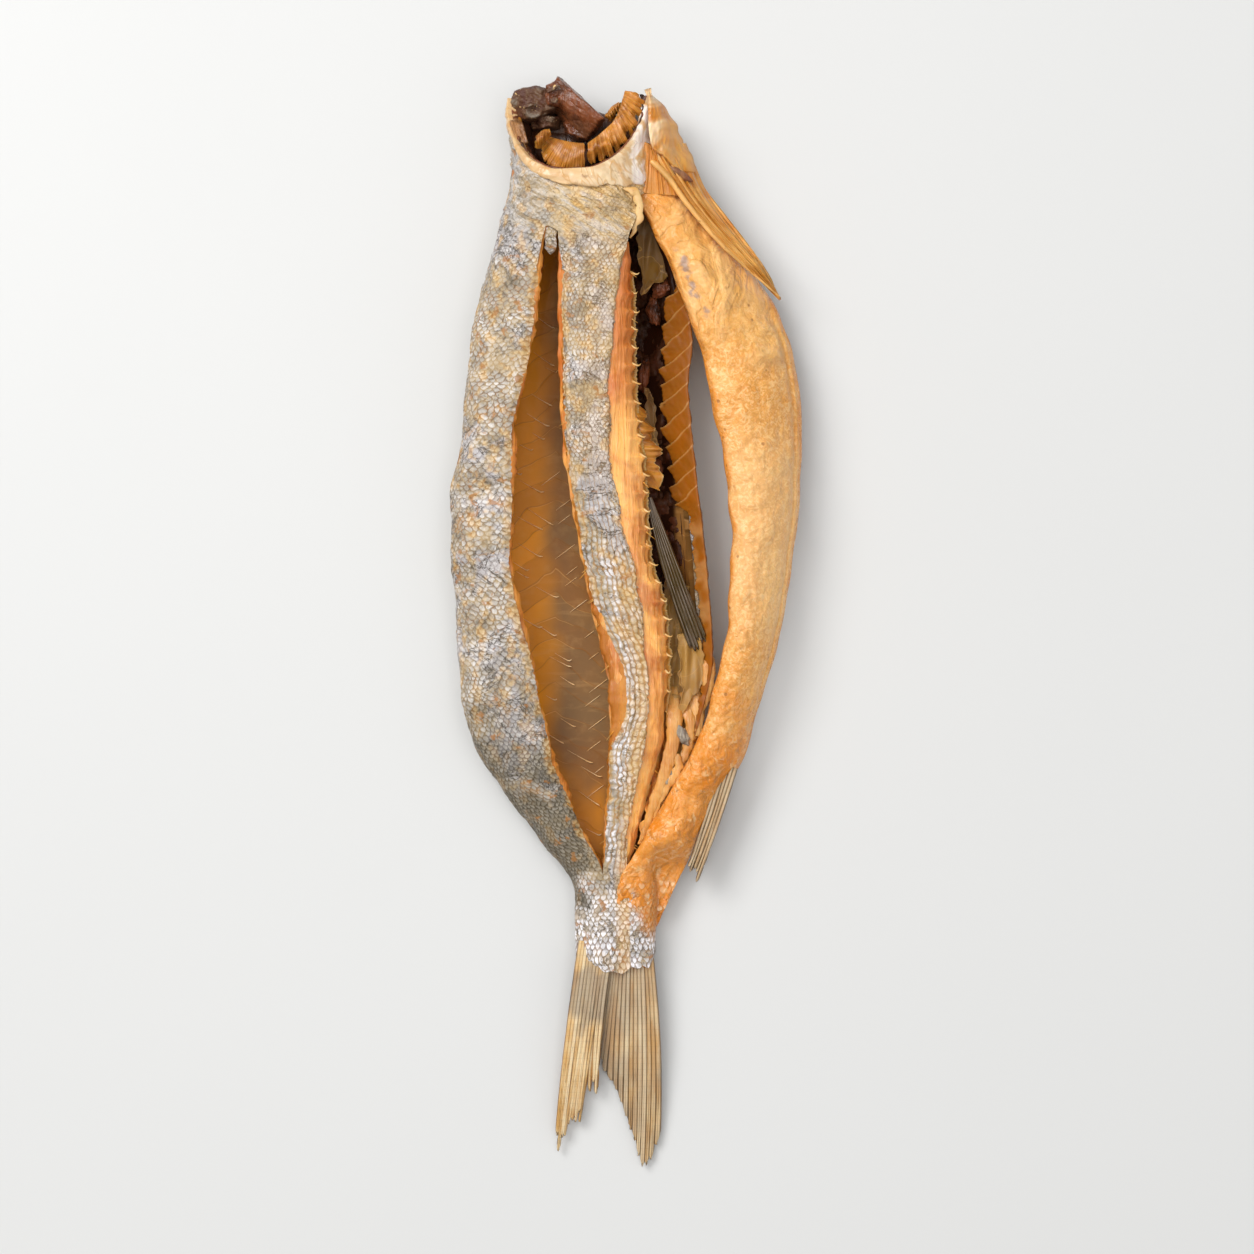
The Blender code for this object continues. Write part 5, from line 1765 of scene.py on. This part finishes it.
def build_shoulder():
    """The cream plate between the collar's seam and the breast fin, and the dark pocket under it."""
    seam = [(3.6, 101.0, 17.6), (3.7, 97.5, 18.6), (3.8, 94.0, 19.4), (4.1, 91.4, 19.9), (4.7, 89.6, 20.1)]
    outer = [(4.0, 101.1, 16.8), (6.8, 98.3, 14.6), (9.2, 94.7, 13.6), (10.9, 91.3, 13.2), (12.9, 86.9, 13.2)]
    hem = [(0, 0.0, 0.0), (0.3, -0.2, -0.5), (0.62, 0.2, -1.9), (0.85, 0.6, -1.5), (1, 0.0, 0.0)]

    def place(u, v):
        left, right = curve_at(seam, 4 * u), curve_at(outer, 4 * u)
        points = mix(left, right, v[..., None])
        low = smooth(0.55, 1.0, u)
        frayed = 0.4 * line_noise(u * 10, 5, 182, 2) * v
        points[..., 0] += low * along(v, [(a, b) for a, b, c in hem]) + frayed
        points[..., 1] += low * along(v, [(a, c) for a, b, c in hem])
        points[..., 2] += 1.5 * np.sin(math.pi * v**0.8) + 0.25 * ripple(points, 5, 181, 3) + 0.5 * low
        points[..., 2] += 0.15 * np.abs(line_noise(v * 6 + u, 3.5, 185, 2)) * smooth(0, 0.3, u)
        return points

    finish_piece(sheet("shoulder", 110, 60, place, 0.7), fan_skin())

    def root(u, v):
        corners = np.array([(3.2, 91.0, 18.4), (6.0, 89.5, 18.8), (10.6, 81.0, 18.0), (2.6, 81.4, 18.6)])
        points = between_corners(corners, u, v)
        points[..., 2] += 0.5 * np.abs(line_noise(v * 14 + 2 * u, 4, 186, 2)) - 0.6 * np.sin(math.pi * v) * u
        return points

    marks = {"deep": lambda p, u, v: 0.7 * smooth(0.5, 0.0, u) + 0 * v}
    base = sheet("shoulder_root", 50, 50, root, 0.8, marks)
    finish_piece(base, flesh("root_flesh", "fin_orange", "belly_tan", "honey", 160.0, 0.32, 0.1))
    pocket = lump("pocket", (9.0, 85.6, 17.6), (3.6, 0.8, 1.2), -32, 0.12, 184, 5, 1.5)
    finish_piece(pocket, flesh("pocket_flesh", "red_flesh", "dark_streak", "blood", 200.0, 0.35, 0.1))


def fan(name, root, middle, tips, heights, rays, seed, ragged=0.05, depth=0.28, thickness=0.4, spread=1.0,
        marks=None):
    """A dried fin. root, middle and tips are (v, x, y) knots across the rays, heights (u, z) down them."""
    rng = np.random.default_rng(seed)
    ends = 1 - ragged * rng.uniform(0, 1, rays + 1)
    tone = rng.uniform(0, 1, rays + 1)
    lines = [[[(v, point[axis]) for v, *point in side] for axis in (0, 1)] for side in (root, middle, tips)]

    def place(u, v):
        ray = np.clip(np.floor(v * rays), 0, rays - 1).astype(int)
        phase = v * rays - ray
        reach = u * (ends[ray] - 0.04 * np.abs(phase - 0.5) * 2)
        a, b, c = [np.stack([along(v, knots) for knots in side], -1) for side in lines]
        t = reach[..., None]
        flat = a * (2 * t - 1) * (t - 1) + b * 4 * t * (1 - t) + c * t * (2 * t - 1)
        centre = np.stack([along((ray + 0.5) / rays, knots) for knots in lines[2]], -1)
        flat = mix(flat, centre, (1 - spread) * smooth(0.55, 1.0, u)[..., None] * smooth(0, 1, t))
        branch = smooth(0.45, 0.8, u) * 0.35 * np.sin(math.pi * phase * 3) ** 2
        height = along(reach, heights) + depth * (np.sin(math.pi * phase) ** 0.7 - branch)
        height = height + 0.4 * line_noise(v * 9 + reach * 2, 3.0, seed + 1) * reach
        height = height + 0.25 * (tone[ray] - 0.5)
        return np.concatenate((flat, height[..., None]), -1)

    marks = dict(marks or {})
    marks.setdefault("web", lambda p, u, v: 0.5 + 0 * u)
    marks["tone"] = lambda p, u, v: tone[np.clip(np.floor(v * rays), 0, rays - 1).astype(int)]
    def pattern(points, u, v):
        return stacked(v * rays, points[..., 1])

    return sheet(name, 110, rays * 10, place, thickness, marks, pattern, 0.0)


def build_tail_fin():
    """Both lobes of the tail fin, the left one in three bundles of rays."""
    def smoke(p, u, v):
        """Grey-violet stain near the left lobe's root."""
        return smooth(7.5, 3.0, np.hypot(p.x + 6.6, (p.y + 70.5) * 0.8) + 1.6 * ripple(p, 4, 195, 2))

    strips = [
        fan("tail_left_outer", [(0, -9.3, -60), (1, -6.4, -60)], [(0, -12.2, -81), (1, -9.0, -81)],
            [(0, -14.3, -101.9), (0.5, -13.0, -101.0), (1, -11.6, -97.0)], [(0, 6.8), (0.4, 5.4), (1, 1.6)],
            5, 31, 0.10, 0.36, 0.4, 1.0, {"web": smoke}),
        fan("tail_left_middle", [(0, -6.7, -60), (1, -4.2, -60)], [(0, -9.1, -79), (1, -6.8, -79)],
            [(0, -11.3, -96.5), (0.5, -10.2, -98.2), (1, -9.3, -95.8)], [(0, 6.9), (0.4, 5.6), (1, 2.0)], 4,
            33, 0.14, 0.36, 0.4, 0.9, {"web": smoke}),
        fan("tail_left_inner", [(0, -4.3, -60), (1, -2.6, -60)], [(0, -6.9, -76), (1, -4.8, -75)],
            [(0, -7.7, -88.5), (0.6, -6.6, -91.2), (1, -5.9, -90.4)], [(0, 6.9), (0.4, 5.6), (1, 2.8)], 3,
            34, 0.16, 0.36, 0.4, 0.8, {"web": smoke}),
        fan("tail_right", [(0, -3.2, -60), (0.25, -1.4, -60), (1, 4.4, -60)],
            [(0, -4.4, -71), (0.2, -3.3, -76), (0.5, 0.2, -81), (1, 6.2, -82)],
            [(0, -5.2, -79.5), (0.14, -5.0, -84.8), (0.3, -2.6, -88.9), (0.55, 0.6, -98.6),
             (0.8, 3.2, -105.4), (0.9, 4.4, -104.0), (1, 6.0, -100.0)],
            [(0, 5.8), (0.4, 4.4), (1, 1.0)], 14, 32, 0.05, 0.36, 0.4, 1.0,
            {"web": lambda p, u, v: unit(0.52 + 0.5 * smooth(0.75, 0.1, v) + 0.3 * ripple(p, 9, 196, 2))}),
    ]
    finish_piece(join("tail_fin", strips), fin_rays())


def build_small_fins():
    """The breast fin with its leading ray, the vent fin and the back fin."""
    lower = [(4.4, 90.0, 18.6), (6.4, 86.4, 18.8), (10.4, 80.6, 18.2), (14.8, 75.3, 17.2), (18.8, 71.4, 16.0),
             (23.2, 67.3, 14.6), (28.9, 62.4, 12.4)]
    upper = [
        (11.0, 91.6, 13.0), (12.8, 87.2, 13.0), (14.8, 82.6, 13.1), (18.6, 77.2, 12.9), (22.0, 72.9, 12.6),
        (25.6, 68.3, 12.2), (29.1, 62.2, 11.7),
    ]

    def breast_place(u, v):
        left, right = curve_at(lower, 6 * u), curve_at(upper, 6 * u)
        points = mix(left, right, v[..., None])
        body = np.sin(math.pi * v**0.9)
        folds = 0.75 * np.abs(line_noise(v * 8 + 0.8 * u, 3.4, 187, 2))
        folds = folds + 0.08 * np.abs(line_noise(v * 30 + u, 3.0, 188, 2))
        points[..., 2] += (1.1 * body + folds * smooth(0, 0.1, v)) * smooth(1.0, 0.8, u)
        return points

    def folded(points, u, v):
        return stacked(v * 4 + 0.4 * np.sin(5 * u), points[..., 1])

    breast = sheet("breast_fin", 130, 90, breast_place, 0.5, None, folded)
    leading = curve_through([(4.3, 87.4, 19.6), (7.2, 84.6, 19.6), (11.2, 79.2, 18.8), (17.2, 72.4, 17.0),
                             (22.4, 67.8, 15.2), (28.9, 62.4, 12.6)], 60)
    t = np.linspace(0, 1, 60)
    radii = np.interp(t, [0, 0.05, 0.3, 0.7, 1], [0.3, 0.62, 0.5, 0.36, 0.12])
    ray = rod("leading_ray", leading, radii, 14, 0.05, 191, 0.7)
    finish_piece(breast, fan_skin())
    finish_piece(ray, bone("ray_horn", "ray_gold", "belly_light", 0.35))
    vent = fan(
        "vent_fin", [(0, 17.4, -26), (1, 20.8, -27)], [(0, 14.0, -38), (1, 17.2, -38)],
        [(0, 10.8, -47.0), (1, 13.2, -49.2)],
        [(0, 9.2), (0.5, 8.4), (1, 7.2)], 5, 42, 0.16, 0.34, 0.3, 0.7, {"web": lambda p, u, v: 0.75 + 0 * u},
    )
    finish_piece(vent, fin_rays())
    back = fan(
        "back_fin", [(0, 3.6, 24.4), (1, 4.4, 24.6)], [(0, 6.6, 11.0), (1, 9.6, 11.6)],
        [(0, 12.2, -5.4), (1, 15.2, -3.0)],
        [(0, 12.8), (0.4, 11.8), (1, 9.8)], 6, 43, 0.05, 0.34, 0.3, 1.0, {"web": lambda p, u, v: 1 + 0 * u},
    )
    finish_piece(back, dark_fin())


def build_threads():
    """Frayed fibres along the cut edges."""
    rng = np.random.default_rng(51)
    threads = []
    for k in range(44):
        y = rng.uniform(-44, 68)
        edge, way = ((SLIT_LEFT, 1), (SLIT_RIGHT, -1), (MIDDLE_FLESH, 1))[k % 3]
        x = float(along(y, edge)) - 0.3 * way
        z = float(tube(np.array(y), angle_at(y, x), 1.2)[2]) - (1.0 if k % 3 == 2 else 0.0)
        t = np.linspace(0, 1, 8)
        length = rng.uniform(0.8, 2.6)
        turn = rng.uniform(-1.1, 1.1)
        path = np.stack(
            (x + way * length * t * math.cos(turn) * 0.7, y - length * t * (0.6 + 0.4 * math.sin(turn)),
             z - 0.6 * t + 0.5 * rng.uniform(-1, 1) * t**2), -1)
        threads.append(rod(f"thread_{k:02d}", path, np.interp(t, [0, 1], [rng.uniform(0.08, 0.16), 0.03]), 5))
    finish_piece(join("threads", threads), bone("thread_flesh", "ray_gold", "honey", 0.4))


def build_throat():
    """The dark dried flesh left in the collar."""
    dark = flesh("dark_flesh", "dark_flesh", "red_flesh", "dark_streak", 240.0, 0.24, 0.05)
    pieces = [
        lump("neck_flesh", (-10.6, 98.9, 11.0), (7.4, 3.4, 6.8), -42, 0.05, 9, 6, 1.1, 16),
        lump("neck_edge", (-9.6, 94.6, 9.0), (3.4, 1.9, 5.2), -30, 0.08, 15, 5, 1.1, 14),
        lump("neck_side", (-14.0, 99.8, 10.8), (2.8, 1.9, 6.4), 10, 0.06, 25, 5, 1.1, 14),
    ]
    finish_piece(join("throat_flesh", pieces), dark)
    pieces = [
        lump("nape_flesh", (-18.0, 99.2, 9.4), (4.9, 4.0, 7.4), 2, 0.08, 3, 6, 1.0, 16),
        lump("nape_low", (-15.6, 96.0, 8.4), (3.2, 1.9, 6.2), -8, 0.12, 13, 5, 1.0, 16),
        lump("nape_fleck_1", (-14.2, 101.4, 16.4), (1.3, 0.5, 0.5), 30, 0.2, 43, 4, 1.0, 8),
        lump("nape_fleck_2", (-18.6, 98.2, 16.3), (1.5, 0.4, 0.5), 12, 0.2, 44, 4, 1.0, 8),
        lump("nape_fleck_3", (-13.9, 99.2, 16.6), (0.7, 0.6, 0.5), 0, 0.2, 45, 4, 1.0, 8),
    ]
    finish_piece(join("nape_flesh", pieces), mouldy_flesh())
    panel = lump("collar_panel", (-20.7, 93.4, 12.6), (1.5, 3.6, 5.4), 16, 0.08, 46, 5, 1.2, 10)
    finish_piece(panel, flesh("panel_flesh", "gut_brown", "dark_streak", "oil", 200.0, 0.4, 0.0))
    floor = lump("throat_floor", (-9.0, 94.6, 5.6), (9.6, 4.6, 3.4), -8, 0.10, 18, 5)
    finish_piece(floor, flesh("throat_floor_flesh", "blood", "dark_flesh", "dark_streak", 200.0, 0.30, 0.0))
    stump = lump("neck_stump", (-12.6, 91.0, 4.6), (7.8, 6.4, 4.2), 0, 0.12, 8, 5)
    finish_piece(stump, flesh("stump_flesh", "blood", "dark_flesh", "gut_brown", 150.0, 0.30, 0.0))


def build_stage():
    """Floor, lights and camera."""
    deselect()
    bpy.ops.mesh.primitive_grid_add(x_subdivisions=12, y_subdivisions=12, size=FLOOR_SIZE)
    floor = just_added("floor")
    floor.data.materials.append(pale_floor())
    scene = bpy.context.scene
    scene.view_settings.view_transform = "Standard"
    scene.world = bpy.data.worlds.new("studio")
    scene.world.use_nodes = True
    background = scene.world.node_tree.nodes["Background"]
    background.inputs["Color"].default_value = (1.0, 1.0, 1.0, 1)
    background.inputs["Strength"].default_value = AMBIENT
    for name, energy, size, spot in LIGHTS:
        bpy.ops.object.light_add(type="AREA", location=spot)
        light = just_added(name)
        light.data.energy = energy
        light.data.size = size
        light.rotation_euler = (Vector() - Vector(spot)).to_track_quat("-Z", "Y").to_euler()
    bpy.ops.object.camera_add(location=CAMERA_SPOT, rotation=(0, 0, 0))
    scene.camera = just_added("camera")
    scene.camera.data.lens = LENS
    scene.camera.data.sensor_width = SENSOR_WIDTH


# ---- Add-on ----------------------------------------------------------------------------------
class DriedFishSizes(bpy.types.PropertyGroup):
    scale_size: FloatProperty(
        name="Scale size", description="Size of the scales, as a share of the grown size", default=1.0,
        min=0.5, max=3
    )
    scale_relief: FloatProperty(
        name="Scale relief", description="How far a scale's free edge stands up, in mm", default=0.05,
        min=0, max=0.6
    )
    crumple: FloatProperty(
        name="Crumple", description="Height of the dried skin's wrinkles, in mm", default=0.40, min=0, max=1
    )
    rib_pitch: FloatProperty(
        name="Rib spacing", description="Distance between ribs, in mm", default=3.4, min=1.5, max=8
    )


def in_words(key):
    return key.replace("_", " ").capitalize()


def colour_property(key, description, *value):
    return FloatVectorProperty(
        name=in_words(key), description=description, default=(*value, 1.0), size=4, min=0, max=1,
        subtype="COLOR"
    )


class DriedFishColours(bpy.types.PropertyGroup):
    __annotations__ = {key: colour_property(key, *entry) for key, entry in COLOURS.items()}


def piece_operator(build):
    """The Operator class that runs build, under build's name and with its docstring."""
    key = build.__name__.removeprefix("build_")

    def execute(self, context):
        build()
        return {"FINISHED"}

    fields = {"bl_idname": "dried_fish." + key, "bl_label": in_words(key), "execute": execute}
    return type("DRIEDFISH_OT_" + key, (bpy.types.Operator,), {**fields, "__doc__": build.__doc__})


BUILDERS = (
    build_stage, build_near_skin, build_near_flesh, build_skin_tag, build_far_wall, build_far_skin,
    build_middle_flesh, build_rib_stubs, build_rib_web, build_pin_bones, build_cavity, build_shoulder,
    build_threads, build_rib_band, build_belly_strip, build_gill_comb, build_collar_rim, build_throat,
    build_tail_fin, build_small_fins,
)
OPERATORS = [piece_operator(build) for build in BUILDERS]


class DRIEDFISH_PT_panel(bpy.types.Panel):
    """Lists the fish's pieces"""

    bl_label = "Dried fish"
    bl_space_type = "VIEW_3D"
    bl_region_type = "UI"
    bl_category = "Dried fish"

    def draw(self, context):
        for operator in OPERATORS:
            self.layout.operator(operator.bl_idname)


CLASSES = [DriedFishSizes, DriedFishColours, *OPERATORS, DRIEDFISH_PT_panel]


def register():
    for cls in CLASSES:
        bpy.utils.register_class(cls)
    bpy.types.Scene.dried_fish_sizes = PointerProperty(type=DriedFishSizes)
    bpy.types.Scene.dried_fish_colours = PointerProperty(type=DriedFishColours)


def unregister():
    del bpy.types.Scene.dried_fish_colours
    del bpy.types.Scene.dried_fish_sizes
    for cls in reversed(CLASSES):
        bpy.utils.unregister_class(cls)


def main():
    register()
    for operator in OPERATORS:
        group, key = operator.bl_idname.split(".")
        getattr(getattr(bpy.ops, group), key)()


if __name__ == "__main__":
    main()
